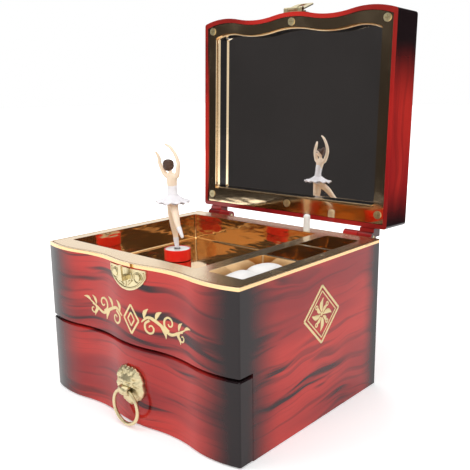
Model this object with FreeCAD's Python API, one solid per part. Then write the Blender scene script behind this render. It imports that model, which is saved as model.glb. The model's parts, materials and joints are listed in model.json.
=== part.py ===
import FreeCAD, Part
import os
from math import atan, atan2, cos, hypot, pi, radians, sin, tan
from FreeCAD import Vector

os.makedirs("parts", exist_ok=True)

# Ballerina jewellery box, millimetres. x to the right, y to the back, z up, origin in the middle of the base.

# Case outline: straight sides and back, serpentine front of humps and troughs
CASE_WIDTH = 167.5
CASE_DEPTH = 142.0
WAVE_FALL = 2.0
WAVE_RISE = 1.7
WAVE_STEP = 33.0
WALL = 3.5
EDGE_R = 1.2
FOOT_GAP = 0.4

# Fits
RUN_FIT = 0.05
TIGHT_FIT = 0.02
SLIDE_GAP = 0.3
SEAT_GAP = 0.2

# Base plate, drawer rails and base screws
BASE_T = 3.0
RAIL_W = 7.5
RAIL_H = 8.0
BASE_SCREW_INSET = 12.0
BASE_SCREW_R = 1.2
BASE_HEAD_R = 2.6
BASE_HEAD_T = 1.5
BASE_SCREW_L = 6.0

# Drawer
DRAWER_TOP = 50.4
DRAWER_FOOT = 1.0
SEAM_GAP = 1.8
FRONT_T = 10.4
FRONT_SKIN = 3.5
FRONT_ROUND = 1.1
DRAWER_WALL = 2.0
DRAWER_RIM_DROP = 4.1
DRAWER_REAR_GAP = 4.0
LINING_T = 0.8
FRONT_BOSS_X = 45.0
FRONT_BOSS_Z = 25.0
FRONT_BOSS_R = 3.5
FRONT_SCREW_R = 1.2
FRONT_SCREW_HEAD_R = 2.4
FRONT_SCREW_HEAD_T = 1.3
FRONT_SCREW_L = 7.0

# Lion plate and ring pull
LION_Z = 26.5
LION_T = 1.5
MANE_R = 10.0
MANE_LOBES = 12
LOBE_R = 2.9
HEAD_R = 8.2
HEAD_LIFT = 5.2
MUZZLE_R = 4.2
MUZZLE_DROP = 2.3
EAR_R = 2.2
EAR_X = 5.8
EAR_RISE = 7.6
RING_OD = 24.0
RING_WIRE = 2.2
RING_OUT = 5.6
RING_PLAY = 0.95
LION_SCREW_X = 6.0
LION_SCREW_RISE = 3.0
LION_SCREW_R = 1.0
LION_SCREW_HEAD_R = 2.0
LION_SCREW_HEAD_T = 1.2

# Movement shelf
SHELF_T = 2.0
LEDGE_W = 5.0
LEDGE_T = 2.4
SHELF_SCREW_Y = 45.0
SHELF_SCREW_R = 1.0
SHELF_HEAD_R = 2.0
SHELF_HEAD_T = 1.2

# Tray
FLANGE_T = 2.2
TRAY_DEPTH = 19.5
TRAY_FLOOR_T = 1.8
TRAY_WALL = 1.5
TRAY_SIDE = 8.25
TRAY_FRONT = 12.5
TRAY_REAR = 12.5
COLUMN_W = 25.5
COLUMN_GAP = 9.0
RING_BAY_L = 48.0
CROSS_T = 2.5
SKIRT_T = 1.5
SKIRT_H = 6.0
BEAD_W = 1.1
GROOVE_W = 0.6
GROOVE_D = 0.6
BAY_CORNER_R = 1.5
BAY_FLOOR_R = 1.2

# Ring cushion: a front lip and two crowned rolls on a pad
PAD_H = 7.0
LIP_T = 4.5
LIP_H = 18.0
ROLL_COUNT = 2
ROLL_CROWN = 18.0
ROLL_SIDE = 10.0
ROLL_END_DROP = 4.5
ROLL_NECK = 2.2

# Catch plate and hasp
CATCH_W = 31.6
CATCH_H = 13.6
CATCH_SIDE = 4.4
CATCH_T = 0.8
CATCH_DROP = 0.6
TONGUE_W = 4.0
TONGUE_DROP = 7.0
TONGUE_RISE = 9.0
TONGUE_OUT = 3.2
TONGUE_T = 1.3
RIVET_X = 10.0
RIVET_DROP = 4.5
RIVET_R = 1.0
RIVET_HEAD_R = 2.2
RIVET_HEAD_T = 0.9
RIVET_L = 2.4
HASP_W = 16.0
HASP_PLATE_H = 9.0
HASP_T = 0.8
HASP_KNUCKLE_R = 1.35
HASP_PIN_R = 0.6
HASP_AXIS_RISE = 3.2
HASP_MID_W = 8.0
HASP_GAP = 0.3
HASP_BAR = 1.6
HASP_SLOT_GAP = 0.6
HASP_REST = 158.0
HASP_RIVET_X = 4.8
HASP_RIVET_RISE = 5.0
HASP_RIVET_HEAD_R = 1.76

# Hinges
HINGE_BACK = 6.0
HINGE_RISE = 1.0
HINGE_R = 3.3
PIN_R = 1.2
KNUCKLE_X0 = 53.0
KNUCKLE_L = 11.0
KNUCKLE_GAP = 0.4
ARM_H = 8.0
LID_OPEN = 91.8

# Lid
LID_GAP = 0.2
LID_H = 28.0
LID_WALL = 3.0
LID_TOP_T = 3.0
LID_EDGE_R = 2.0
LID_TOP_R = 1.6
FRAME_SINK = 0.8
FRAME_T = 2.0
FRAME_SIDE = 8.9
FRAME_FRONT = 8.3
FRAME_REAR = 12.0
FRAME_STEP = 1.2
FRAME_WALL = 1.6
MIRROR_SINK = 8.5
MIRROR_T = 2.0
MIRROR_LAP = 1.4
POST_R = 2.8
FRAME_SCREW_R = 1.1
FRAME_HEAD_R = 2.7
FRAME_HEAD_T = 0.6
FRAME_SCREW_L = 8.0
CROSS_CUT_W = 0.7
CROSS_CUT_D = 0.35
PROP_X = 40.0
PROP_Y = 30.0

# Pedestal and figure
PED_FROM_LEFT = 47.25
PED_Y = 1.0
PED_R = 9.4
PED_H = 8.2
PED_CLEAR = 0.4
PED_RECESS_R = 5.4
PED_RECESS_H = 1.3
DISC_R = 8.5
DISC_T = 1.0
DISC_HOLE_R = 2.6
CUP_LIP = 0.3
SHAFT_R = 1.5
BUSH_R = 3.2
BUSH_FLANGE_R = 4.6
BUSH_FLANGE_T = 0.7
SPRING_R = 2.2
SPRING_BORE_R = 1.5
SPRING_H = 2.6
TILT_RISE = 1.1
FIGURE_TURN = 41.5
FIGURE_H = 72.6
DOLL_HEAD_R = 3.6
BUN_R = 1.9
TUTU_R = 12.2
TUTU_T = 0.9
TUTU_Z = 32.4
TUTU_RISE = 3.4

# Musical movement
BED_T = 1.4
BED_FRONT = 9.0
BED_REAR = 43.0
BED_LEFT = 31.5
BED_RIGHT = 26.0
BARREL_GAP = 0.975
HEADROOM = 1.475
CHEEK_T = 1.6
CHEEK_H = 23.0
CHEEK_FRONT = 11.0
CHEEK_REAR = 40.0
TOOTH_RISE = 0.85
TOOTH_FALL = 1.15
TOOTH_SHARE = 0.42
WHEEL_MODULE = 0.5
BARREL_TEETH = 44
PINION_TEETH = 11
GOVERNOR_MODULE = 0.4
GOVERNOR_WHEEL_TEETH = 30
GOVERNOR_PINION_TEETH = 10
GOVERNOR_LEAN = 50.0
CROWN_TEETH = 24
CROWN_PINION_TEETH = 12
CROWN_R = 8.0
CROWN_FACE = 2.4
CROWN_BODY_T = 2.0
CROWN_TOOTH_W = 0.6
CROWN_SHARE = 0.3
ARBOR_R = 1.2
WIND_R = 1.5
FLY_R = 0.6
CYLINDER_R = 6.0
CYLINDER_L = 19.5
PEG_R = 0.25
PEG_H = 0.5
PEG_ROWS = 18
DRUM_R = 7.2
DRUM_WALL = 0.6
GEAR_W = 2.0
COMB_TEETH = 18
COMB_T = 1.0
COMB_TIP_GAP = 0.4
COMB_TOOTH_L = 12.5
COMB_BODY_L = 10.0
COMB_TOOTH_W = 0.78
COMB_BLOCK_W = 9.0
COMB_SCREW_R = 0.9
SMALL_HEAD_R = 1.8
SMALL_HEAD_T = 1.0
FAN_R = 5.0
FAN_L = 6.0
FAN_T = 0.5
KEY_OUT = 2.0
KEY_HUB_R = 3.2
KEY_HUB_L = 7.0
KEY_WING_R = 6.5
KEY_WING_T = 2.0
KEY_HOLE_R = 2.6

# Lid stop: plunger, spring and lever
PLUNGER_X = 29.5
PLUNGER_FROM_REAR = 7.0
PLUNGER_R = 2.4
PLUNGER_TRAVEL = 10.9
PLUNGER_REST = 0.4
GUIDE_WALL = 1.6
GUIDE_H = 10.0
FOOT_L = 7.0
FOOT_W = 3.0
FOOT_T = 2.0
LEVER_Z = 7.3
LEVER_T = 2.0
LEVER_W = 2.0
LEVER_PIVOT_X = -4.0
LEVER_PIN_R = 0.8
LEVER_TILT = 4.1
LEVER_REACH = 4.0
EAR_T = 1.4
EAR_GAP = 0.3
BRACKET_L = 8.0

# Places that follow from the sizes above
SIDE = CASE_WIDTH / 2
REAR_Y = CASE_DEPTH / 2
CORNER_Y = -CASE_DEPTH / 2
WAVE_Y = CORNER_Y - WAVE_FALL
FRONT_Y = WAVE_Y - WAVE_RISE
HUMP_R = ((WAVE_STEP / 2) ** 2 + WAVE_RISE ** 2) / (2 * WAVE_RISE)
PED_X = PED_FROM_LEFT - SIDE
PLUNGER_Y = REAR_Y - PLUNGER_FROM_REAR
SHELL_Z = DRAWER_TOP + SEAM_GAP
SHELF_TOP = SHELL_Z + SHELF_T
BED_TOP = SHELF_TOP + BED_T
BARREL_TIP_R = WHEEL_MODULE * (BARREL_TEETH / 2 + TOOTH_RISE)
AXIS_Z = BED_TOP + BARREL_GAP + BARREL_TIP_R
TRAY_UNDER = AXIS_Z + BARREL_TIP_R + HEADROOM
FLOOR_Z = TRAY_UNDER + TRAY_FLOOR_T
RIM_Z = FLOOR_Z + TRAY_DEPTH
CASE_TOP = RIM_Z - FLANGE_T
DRAWER_BACK_Y = CORNER_Y + FRONT_T
LID_Z = RIM_Z + LID_GAP
LID_TOP = LID_Z + LID_H
HINGE_Y = REAR_Y + HINGE_BACK
HINGE_Z = CASE_TOP + HINGE_RISE
BIG = 400.0
X_AXIS = Vector(1, 0, 0)
Y_AXIS = Vector(0, 1, 0)
Z_AXIS = Vector(0, 0, 1)


# Helpers
def box(x0, x1, y0, y1, z0, z1):
    return Part.makeBox(x1 - x0, y1 - y0, z1 - z0, Vector(x0, y0, z0))


def rod(radius, start, axis, length):
    return Part.makeCylinder(radius, length, Vector(*start), axis)


def cone(r0, r1, start, end):
    path = Vector(*end) - Vector(*start)
    if abs(r0 - r1) < 1e-6:
        return Part.makeCylinder(r0, path.Length, Vector(*start), path)
    return Part.makeCone(r0, r1, path.Length, Vector(*start), path)


def ball(radius, centre):
    return Part.makeSphere(radius, Vector(*centre))


def joined(shapes):
    return shapes[0].fuse(shapes[1:]).removeSplitter()


def group(shapes):
    return Part.makeCompound(shapes)


def keep(name, shape):
    shape.exportStep("parts/" + name + ".step")


def mirrored_pair(shape):
    return [shape, shape.mirror(Vector(0, 0, 0), X_AXIS)]


def opened(shape):
    """A lid piece drawn closed, swung to the open rest pose."""
    swung = shape.copy()
    swung.rotate(Vector(0, HINGE_Y, HINGE_Z), X_AXIS, -LID_OPEN)
    return swung


# Serpentine outline
def front_arcs(half, wave_y, corner_y):
    """Arcs of the front from the left corner to the right one, each tangent to the next."""
    inner = WAVE_STEP / 2
    outer = 3 * WAVE_STEP / 2
    slope = 2 * atan(WAVE_RISE / inner)
    chord_x = half - outer
    chord_y = corner_y - wave_y
    turn = atan2(chord_y, chord_x)
    rise = hypot(chord_x, chord_y) / 2 * tan((slope + turn) / 2)
    end_x = (half + outer) / 2 + rise * sin(turn)
    end_y = (corner_y + wave_y) / 2 - rise * cos(turn)
    stops = [
        ((-half, corner_y), (-end_x, end_y), (-outer, wave_y)),
        ((-outer, wave_y), (-WAVE_STEP, wave_y + WAVE_RISE), (-inner, wave_y)),
        ((-inner, wave_y), (0, wave_y - WAVE_RISE), (inner, wave_y)),
        ((inner, wave_y), (WAVE_STEP, wave_y + WAVE_RISE), (outer, wave_y)),
        ((outer, wave_y), (end_x, end_y), (half, corner_y)),
    ]
    return [Part.Arc(*[Vector(x, y, 0) for x, y in stop]).toShape() for stop in stops]


def serpentine(half, rear_y, wave_y, corner_y, z0, z1):
    corners = [(half, corner_y), (half, rear_y), (-half, rear_y), (-half, corner_y)]
    sides = []
    for a, b in zip(corners, corners[1:]):
        sides.append(Part.LineSegment(Vector(*a, 0), Vector(*b, 0)).toShape())
    face = Part.Face(Part.Wire(Part.__sortEdges__(front_arcs(half, wave_y, corner_y) + sides)))
    face.translate(Vector(0, 0, z0))
    return face.extrude(Vector(0, 0, z1 - z0))


def outline(inset, z0, z1):
    return serpentine(SIDE - inset, REAR_Y - inset, WAVE_Y + inset, CORNER_Y + inset, z0, z1)


def upright_edges(solid, half):
    found = []
    for edge in solid.Edges:
        ends = [v.Point for v in edge.Vertexes]
        if len(ends) == 2 and abs(ends[0].z - ends[1].z) > 1 and abs(abs(ends[0].x) - half) < 0.01:
            if abs(ends[0].x - ends[1].x) < 0.01:
                found.append(edge)
    return found


def rounded_outline(radius, z0, z1):
    solid = outline(0, z0, z1)
    return solid.makeFillet(radius, upright_edges(solid, SIDE))


def hugging(shape, thickness):
    """The skin of the middle hump, of a thickness, inside a shape drawn across it."""
    centre = (0, FRONT_Y + HUMP_R, -BIG)
    skin = rod(HUMP_R + thickness, centre, Z_AXIS, 2 * BIG).cut(rod(HUMP_R, centre, Z_AXIS, 2 * BIG))
    return shape.common(skin)


# Case
rail_x = SIDE - WALL - RAIL_W
case_rear = REAR_Y - WALL
bay_front = DRAWER_BACK_Y + SLIDE_GAP
barrel_gap = WHEEL_MODULE * (BARREL_TEETH + PINION_TEETH) / 2
barrel_x = PED_X + barrel_gap

upper = rounded_outline(EDGE_R, SHELL_Z, CASE_TOP).cut(outline(WALL, SHELL_Z, CASE_TOP))
lower_block = box(-SIDE, SIDE, bay_front, REAR_Y, FOOT_GAP, SHELL_Z)
rear_edges = [e for e in upright_edges(lower_block, SIDE) if e.Vertexes[0].Y > 0]
lower = lower_block.makeFillet(EDGE_R, rear_edges)
lower = lower.cut(box(-SIDE + WALL, SIDE - WALL, bay_front, case_rear, FOOT_GAP, SHELL_Z))
rail = box(rail_x, SIDE - WALL, bay_front, case_rear, BASE_T, BASE_T + RAIL_H)
ledge = box(SIDE - WALL - LEDGE_W, SIDE - WALL, bay_front, case_rear, SHELL_Z - LEDGE_T, SHELL_Z)
rear_ledge = box(-SIDE + WALL, SIDE - WALL, case_rear - LEDGE_W / 2, case_rear, SHELL_Z - LEDGE_T, SHELL_Z)


def knuckle(x0):
    return rod(HINGE_R, (x0, HINGE_Y, HINGE_Z), X_AXIS, KNUCKLE_L)


case_knuckle_x = KNUCKLE_X0
lid_knuckle_x = KNUCKLE_X0 + KNUCKLE_L + KNUCKLE_GAP
case_arm = box(case_knuckle_x, case_knuckle_x + KNUCKLE_L, REAR_Y - EDGE_R, HINGE_Y, HINGE_Z - ARM_H, HINGE_Z)
case_arm = case_arm.cut(box(-BIG, BIG, -BIG, REAR_Y, CASE_TOP, BIG))
pin_hole = rod(PIN_R + TIGHT_FIT, (0, HINGE_Y, HINGE_Z), X_AXIS, BIG)
case_knuckle = knuckle(case_knuckle_x).fuse(case_arm).cut(pin_hole)

rivet_z = CASE_TOP - CATCH_DROP - RIVET_DROP
base_screw_x = SIDE - WALL - RAIL_W / 2
base_screw_ys = [bay_front + BASE_SCREW_INSET, case_rear - BASE_SCREW_INSET]
base_spots = [(sx * base_screw_x, y) for sx in (-1, 1) for y in base_screw_ys]
shelf_screw_x = SIDE - WALL - LEDGE_W / 2
shelf_spots = [(sx * shelf_screw_x, sy * SHELF_SCREW_Y) for sx in (-1, 1) for sy in (-1, 1)]

case_shell = joined(
    [upper, lower, rear_ledge]
    + mirrored_pair(rail)
    + mirrored_pair(ledge)
    + mirrored_pair(case_knuckle)
)
case_cuts = [rod(KEY_HOLE_R, (barrel_x, case_rear - 1, AXIS_Z), Y_AXIS, WALL + 2)]
for x in (-RIVET_X, RIVET_X):
    case_cuts.append(rod(RIVET_R + TIGHT_FIT, (x, FRONT_Y - 1, rivet_z), Y_AXIS, RIVET_L + 2))
for x, y in base_spots:
    case_cuts.append(rod(BASE_SCREW_R + TIGHT_FIT, (x, y, BASE_T), Z_AXIS, BASE_SCREW_L))
for x, y in shelf_spots:
    case_cuts.append(rod(SHELF_SCREW_R + TIGHT_FIT, (x, y, SHELL_Z - LEDGE_T), Z_AXIS, LEDGE_T))
keep("case_shell", case_shell.cut(case_cuts))

pin_l = 2 * KNUCKLE_L + KNUCKLE_GAP
keep("hinge_pins", group(mirrored_pair(rod(PIN_R, (KNUCKLE_X0, HINGE_Y, HINGE_Z), X_AXIS, pin_l))))

# Base plate and its screws
base_x = SIDE - WALL - SEAT_GAP
base_plate = box(-base_x, base_x, bay_front, case_rear - SEAT_GAP, 0, BASE_T)
head_well = BASE_HEAD_T + FOOT_GAP
base_screws = []
for x, y in base_spots:
    base_plate = base_plate.cut(rod(BASE_HEAD_R + SLIDE_GAP, (x, y, 0), Z_AXIS, head_well))
    base_plate = base_plate.cut(rod(BASE_SCREW_R + TIGHT_FIT, (x, y, 0), Z_AXIS, BASE_T))
    head = rod(BASE_HEAD_R, (x, y, FOOT_GAP), Z_AXIS, BASE_HEAD_T)
    shank = rod(BASE_SCREW_R, (x, y, head_well), Z_AXIS, BASE_T - head_well + BASE_SCREW_L - SLIDE_GAP)
    base_screws.append(head.fuse(shank))
keep("base_plate", base_plate)
keep("base_screws", group(base_screws))

# Movement shelf and its screws
shelf_x = SIDE - WALL - SEAT_GAP
movement_shelf = box(-shelf_x, shelf_x, CORNER_Y + WALL + SEAT_GAP, case_rear - SEAT_GAP, SHELL_Z, SHELF_TOP)
shelf_screws = []
for x, y in shelf_spots:
    movement_shelf = movement_shelf.cut(rod(SHELF_SCREW_R + TIGHT_FIT, (x, y, SHELL_Z), Z_AXIS, SHELF_T))
    head = rod(SHELF_HEAD_R, (x, y, SHELF_TOP), Z_AXIS, SHELF_HEAD_T)
    shank = rod(SHELF_SCREW_R, (x, y, SHELL_Z - LEDGE_T), Z_AXIS, LEDGE_T + SHELF_T)
    shelf_screws.append(head.fuse(shank))
keep("shelf_screws", group(shelf_screws))


def bay_block(x0, x1, y0, y1, z0, z1, radius):
    block = box(x0, x1, y0, y1, z0, z1)
    uprights = [e for e in block.Edges if e.BoundBox.ZLength > z1 - z0 - 0.01]
    block = block.makeFillet(radius, uprights)
    return block.makeFillet(BAY_FLOOR_R, [e for e in block.Edges if e.BoundBox.ZMax < z0 + 0.01])


# Tray insert
tray_front = CORNER_Y + TRAY_FRONT
tray_rear = REAR_Y - TRAY_REAR
column_x1 = SIDE - TRAY_SIDE
column_x0 = column_x1 - COLUMN_W
main_x0 = -SIDE + TRAY_SIDE
main_x1 = column_x0 - COLUMN_GAP
ring_rear = tray_front + RING_BAY_L
small_l = (tray_rear - ring_rear - 2 * CROSS_T) / 2
small_y0 = ring_rear + CROSS_T
small_y1 = small_y0 + small_l + CROSS_T
bays = [
    (main_x0, main_x1, tray_front, tray_rear),
    (column_x0, column_x1, tray_front, ring_rear),
    (column_x0, column_x1, small_y0, small_y0 + small_l),
    (column_x0, column_x1, small_y1, tray_rear),
]
flange = rounded_outline(EDGE_R, CASE_TOP, RIM_Z)
skirt_in = WALL + SEAT_GAP
skirt = outline(skirt_in, CASE_TOP - SKIRT_H, CASE_TOP).cut(
    outline(skirt_in + SKIRT_T, CASE_TOP - SKIRT_H, CASE_TOP))
guide = rod(PLUNGER_R + GUIDE_WALL, (PLUNGER_X, PLUNGER_Y, CASE_TOP - GUIDE_H), Z_AXIS, GUIDE_H)
guide = guide.common(outline(skirt_in, CASE_TOP - GUIDE_H, CASE_TOP))
w = TRAY_WALL
shells = [box(x0 - w, x1 + w, y0 - w, y1 + w, TRAY_UNDER, CASE_TOP) for x0, x1, y0, y1 in bays]
groove = outline(BEAD_W, RIM_Z - GROOVE_D, RIM_Z).cut(outline(BEAD_W + GROOVE_W, RIM_Z - GROOVE_D, RIM_Z))
hollows = [bay_block(x0, x1, y0, y1, FLOOR_Z, RIM_Z, BAY_CORNER_R) for x0, x1, y0, y1 in bays]
hollows.append(rod(PLUNGER_R + RUN_FIT, (PLUNGER_X, PLUNGER_Y, CASE_TOP - GUIDE_H), Z_AXIS, BIG))
hollows.append(rod(BUSH_R + TIGHT_FIT, (PED_X, PED_Y, TRAY_UNDER), Z_AXIS, TRAY_FLOOR_T))
keep("tray_insert", joined([flange, skirt, guide] + shells).cut(hollows + [groove]))


# Ring cushion
def roll_section(x, y0, y1, side, crown, squeeze):
    left = y0 + squeeze
    right = y1 - squeeze
    base = FLOOR_Z + PAD_H / 2
    points = [Vector(x, left, FLOOR_Z + side), Vector(x, left, base),
              Vector(x, right, base), Vector(x, right, FLOOR_Z + side)]
    edges = [Part.LineSegment(a, b).toShape() for a, b in zip(points, points[1:])]
    top = Vector(x, (left + right) / 2, FLOOR_Z + crown)
    edges.append(Part.Arc(points[3], top, points[0]).toShape())
    return Part.Wire(edges)


cushion_x0 = column_x0 + SLIDE_GAP
cushion_x1 = column_x1 - SLIDE_GAP
cushion_y0 = tray_front + SLIDE_GAP
cushion_y1 = ring_rear - SLIDE_GAP
rolls_y0 = cushion_y0 + LIP_T
roll_w = (cushion_y1 - rolls_y0) / ROLL_COUNT
cushion_room = bay_block(cushion_x0, cushion_x1, cushion_y0, cushion_y1, FLOOR_Z, RIM_Z, BAY_CORNER_R)
pad = cushion_room.common(box(-BIG, BIG, -BIG, BIG, FLOOR_Z, FLOOR_Z + PAD_H))
lip = box(cushion_x0, cushion_x1, cushion_y0, cushion_y0 + LIP_T - ROLL_NECK / 2, FLOOR_Z, FLOOR_Z + LIP_H)
lip = lip.makeFillet(LIP_T / 6, [e for e in lip.Edges if min(v.Z for v in e.Vertexes) > FLOOR_Z + 1])
cushion = [pad, lip.common(cushion_room)]
roll_shape = [(0.0, 1.0), (0.14, 0.35), (0.5, 0.0), (0.86, 0.35), (1.0, 1.0)]
for n in range(ROLL_COUNT):
    y0 = rolls_y0 + n * roll_w
    sections = []
    for along, drop in roll_shape:
        x = cushion_x0 + along * (cushion_x1 - cushion_x0)
        fall = drop * ROLL_END_DROP
        sections.append(roll_section(x, y0, y0 + roll_w, ROLL_SIDE - fall / 2, ROLL_CROWN - fall,
                                     ROLL_NECK * (0.15 + 0.35 * drop)))
    cushion.append(Part.makeLoft(sections, True))
keep("ring_cushion", cushion[0].fuse(cushion[1:]))

# Catch plate with its upright tongue, and its rivets
plate_top = CASE_TOP - CATCH_DROP
shoulder = plate_top - CATCH_SIDE
shield = [Vector(-CATCH_W / 2, 0, shoulder), Vector(-CATCH_W / 2, 0, plate_top),
          Vector(CATCH_W / 2, 0, plate_top), Vector(CATCH_W / 2, 0, shoulder)]
shield_edges = [Part.LineSegment(a, b).toShape() for a, b in zip(shield, shield[1:])]
shield_edges.append(Part.Arc(shield[3], Vector(0, 0, plate_top - CATCH_H), shield[0]).toShape())
catch_blank = Part.Face(Part.Wire(shield_edges))
catch_blank.translate(Vector(0, -BIG / 2, 0))
catch = hugging(catch_blank.extrude(Vector(0, BIG / 2, 0)), CATCH_T)
tongue_z = plate_top - TONGUE_DROP
catch_face = FRONT_Y - CATCH_T
tongue_y = catch_face - TONGUE_OUT
stem = box(-TONGUE_W / 2, TONGUE_W / 2, tongue_y, catch_face + CATCH_T / 2, tongue_z, tongue_z + 2 * TONGUE_T)
tongue_points = [(-TONGUE_W / 2, tongue_z), (TONGUE_W / 2, tongue_z),
                 (TONGUE_W / 4, tongue_z + TONGUE_RISE), (-TONGUE_W / 4, tongue_z + TONGUE_RISE)]
tongue_ring = [Vector(x, tongue_y - TONGUE_T, z) for x, z in tongue_points]
tongue = Part.Face(Part.makePolygon(tongue_ring + tongue_ring[:1])).extrude(Vector(0, TONGUE_T, 0))
catch = joined([catch, stem, tongue])
catch_rivets = []
for x in (-RIVET_X, RIVET_X):
    skin_y = FRONT_Y + HUMP_R - (HUMP_R ** 2 - x ** 2) ** 0.5
    catch = catch.cut(rod(RIVET_R + TIGHT_FIT, (x, FRONT_Y - CATCH_T - 1, rivet_z), Y_AXIS, HUMP_R))
    seat = skin_y - CATCH_T
    cap = rod(RIVET_HEAD_R, (x, seat - RIVET_HEAD_T, rivet_z), Y_AXIS, RIVET_HEAD_T + CATCH_T)
    skin_cut = rod(HUMP_R + CATCH_T + TIGHT_FIT, (0, FRONT_Y + HUMP_R, -BIG), Z_AXIS, 2 * BIG)
    cap = cap.cut(skin_cut)
    cap_rim = [e for e in cap.Edges if e.BoundBox.YMax < seat - RIVET_HEAD_T + 0.01]
    cap = cap.makeFillet(RIVET_HEAD_T / 3, cap_rim)
    catch_rivets.append(cap.fuse(rod(RIVET_R, (x, seat - RIVET_HEAD_T / 2, rivet_z), Y_AXIS,
                                     RIVET_HEAD_T / 2 + CATCH_T + RIVET_L)))
keep("catch_plate", catch)
keep("catch_rivets", group(catch_rivets))

# Drawer front, box, lining and screws
front_shape = outline(0, DRAWER_FOOT, DRAWER_TOP).common(box(-BIG, BIG, -BIG, DRAWER_BACK_Y, 0, BIG))
front_corners = [e for e in upright_edges(front_shape, SIDE) if e.Vertexes[0].Y < CORNER_Y + 1]
front_shape = front_shape.makeFillet(EDGE_R, front_corners)
top_edges = [e for e in front_shape.Edges if e.BoundBox.ZMin > DRAWER_TOP - 0.01]
top_rim = [e for e in top_edges if e.BoundBox.YMax < DRAWER_BACK_Y - 0.01]
front_shape = front_shape.makeFillet(FRONT_ROUND, top_rim)
hollow = outline(FRONT_SKIN, DRAWER_FOOT + FRONT_SKIN, DRAWER_TOP - FRONT_SKIN)
front_shape = front_shape.cut(hollow.common(box(-BIG, BIG, -BIG, DRAWER_BACK_Y, 0, BIG)))
boss_front = WAVE_Y + FRONT_SKIN
bosses = [rod(FRONT_BOSS_R, (sx * FRONT_BOSS_X, boss_front, FRONT_BOSS_Z), Y_AXIS, DRAWER_BACK_Y - boss_front)
          for sx in (-1, 1)]
front_shape = joined([front_shape] + bosses)

drawer_x = rail_x - SLIDE_GAP
drawer_z = BASE_T + SLIDE_GAP
drawer_rear = case_rear - LEDGE_W / 2 - DRAWER_REAR_GAP
drawer_top = DRAWER_TOP - DRAWER_RIM_DROP
dw = DRAWER_WALL
drawer_tray = box(-drawer_x, drawer_x, DRAWER_BACK_Y, drawer_rear, drawer_z, drawer_top)
drawer_tray = drawer_tray.cut(box(-drawer_x + dw, drawer_x - dw, DRAWER_BACK_Y + dw, drawer_rear - dw,
                                  drawer_z + dw, drawer_top))
lining = box(-drawer_x + dw, drawer_x - dw, DRAWER_BACK_Y + dw, drawer_rear - dw,
             drawer_z + dw, drawer_z + dw + LINING_T)
drawer_screws = []
for sx in (-1, 1):
    x = sx * FRONT_BOSS_X
    start = (x, DRAWER_BACK_Y - FRONT_SCREW_L, FRONT_BOSS_Z)
    hole = rod(FRONT_SCREW_R + TIGHT_FIT, start, Y_AXIS, FRONT_SCREW_L + dw)
    front_shape = front_shape.cut(hole)
    drawer_tray = drawer_tray.cut(hole)
    shank = rod(FRONT_SCREW_R, start, Y_AXIS, FRONT_SCREW_L + dw)
    head = rod(FRONT_SCREW_HEAD_R, (x, DRAWER_BACK_Y + dw, FRONT_BOSS_Z), Y_AXIS, FRONT_SCREW_HEAD_T)
    drawer_screws.append(shank.fuse(head))

# Lion plate on the drawer: scalloped mane, domed head, ears and a bored muzzle
mane = [rod(MANE_R, (0, -BIG / 2, LION_Z), Y_AXIS, BIG / 2)]
for n in range(MANE_LOBES):
    a = 2 * pi * n / MANE_LOBES
    mane.append(rod(LOBE_R, (MANE_R * cos(a), -BIG / 2, LION_Z + MANE_R * sin(a)), Y_AXIS, BIG / 2))
mane_plate = hugging(mane[0].fuse(mane[1:]), LION_T)
lion_face = FRONT_Y - LION_T
head_y = lion_face - HEAD_LIFT + HEAD_R
muzzle_z = LION_Z - MUZZLE_DROP
ring_y = FRONT_Y - RING_OUT
in_front = box(-BIG, BIG, -BIG, lion_face + LION_T / 2, -BIG, BIG)
face = [ball(HEAD_R, (0, head_y, LION_Z)), ball(MUZZLE_R, (0, ring_y + MUZZLE_R / 4, muzzle_z))]
for sx in (-1, 1):
    face.append(ball(EAR_R, (sx * EAR_X, lion_face - EAR_R / 2, LION_Z + EAR_RISE)))
face_front = face[0].fuse(face[1:]).common(in_front)
ring_bore = RING_WIRE / 2 + RING_PLAY
lion_plate = mane_plate.fuse(face_front).cut(rod(ring_bore, (-BIG / 2, ring_y, muzzle_z), X_AXIS, BIG))
lion_screws = []
for sx in (-1, 1):
    x = sx * LION_SCREW_X
    z = LION_Z + LION_SCREW_RISE
    reach = FRONT_SKIN + LION_T
    hole = rod(LION_SCREW_R + TIGHT_FIT, (x, lion_face, z), Y_AXIS, reach + LION_T)
    front_shape = front_shape.cut(hole)
    lion_plate = lion_plate.cut(hole)
    hump_in = HUMP_R - FRONT_SKIN
    seat_y = FRONT_Y + HUMP_R - (hump_in ** 2 - (abs(x) + LION_SCREW_HEAD_R) ** 2) ** 0.5
    shank = rod(LION_SCREW_R, (x, lion_face, z), Y_AXIS, seat_y - lion_face)
    head = rod(LION_SCREW_HEAD_R, (x, seat_y, z), Y_AXIS, LION_SCREW_HEAD_T)
    lion_screws.append(shank.fuse(head))
keep("drawer_front", front_shape)
keep("drawer_tray", drawer_tray)
keep("drawer_lining", lining)
keep("drawer_screws", group(drawer_screws))
keep("lion_plate", lion_plate)
keep("lion_screws", group(lion_screws))

ring_mid = (RING_OD - RING_WIRE) / 2
keep("ring_pull", Part.makeTorus(ring_mid, RING_WIRE / 2, Vector(0, ring_y, muzzle_z - ring_mid), Y_AXIS))

# Lid shell, drawn closed
lid_outer = rounded_outline(LID_EDGE_R, LID_Z, LID_TOP)
lid_rim_edges = [e for e in lid_outer.Edges if e.BoundBox.ZMin > LID_TOP - 0.01]
lid_outer = lid_outer.makeFillet(LID_TOP_R, lid_rim_edges)
lid_ceiling = LID_TOP - LID_TOP_T
lid_shell = lid_outer.cut(outline(LID_WALL, LID_Z, lid_ceiling))
frame_in = LID_WALL + SEAT_GAP
frame_z = LID_Z + FRAME_SINK
frame_back = frame_z + FRAME_T
mirror_z = LID_Z + MIRROR_SINK
mirror_back = mirror_z + MIRROR_T


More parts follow.
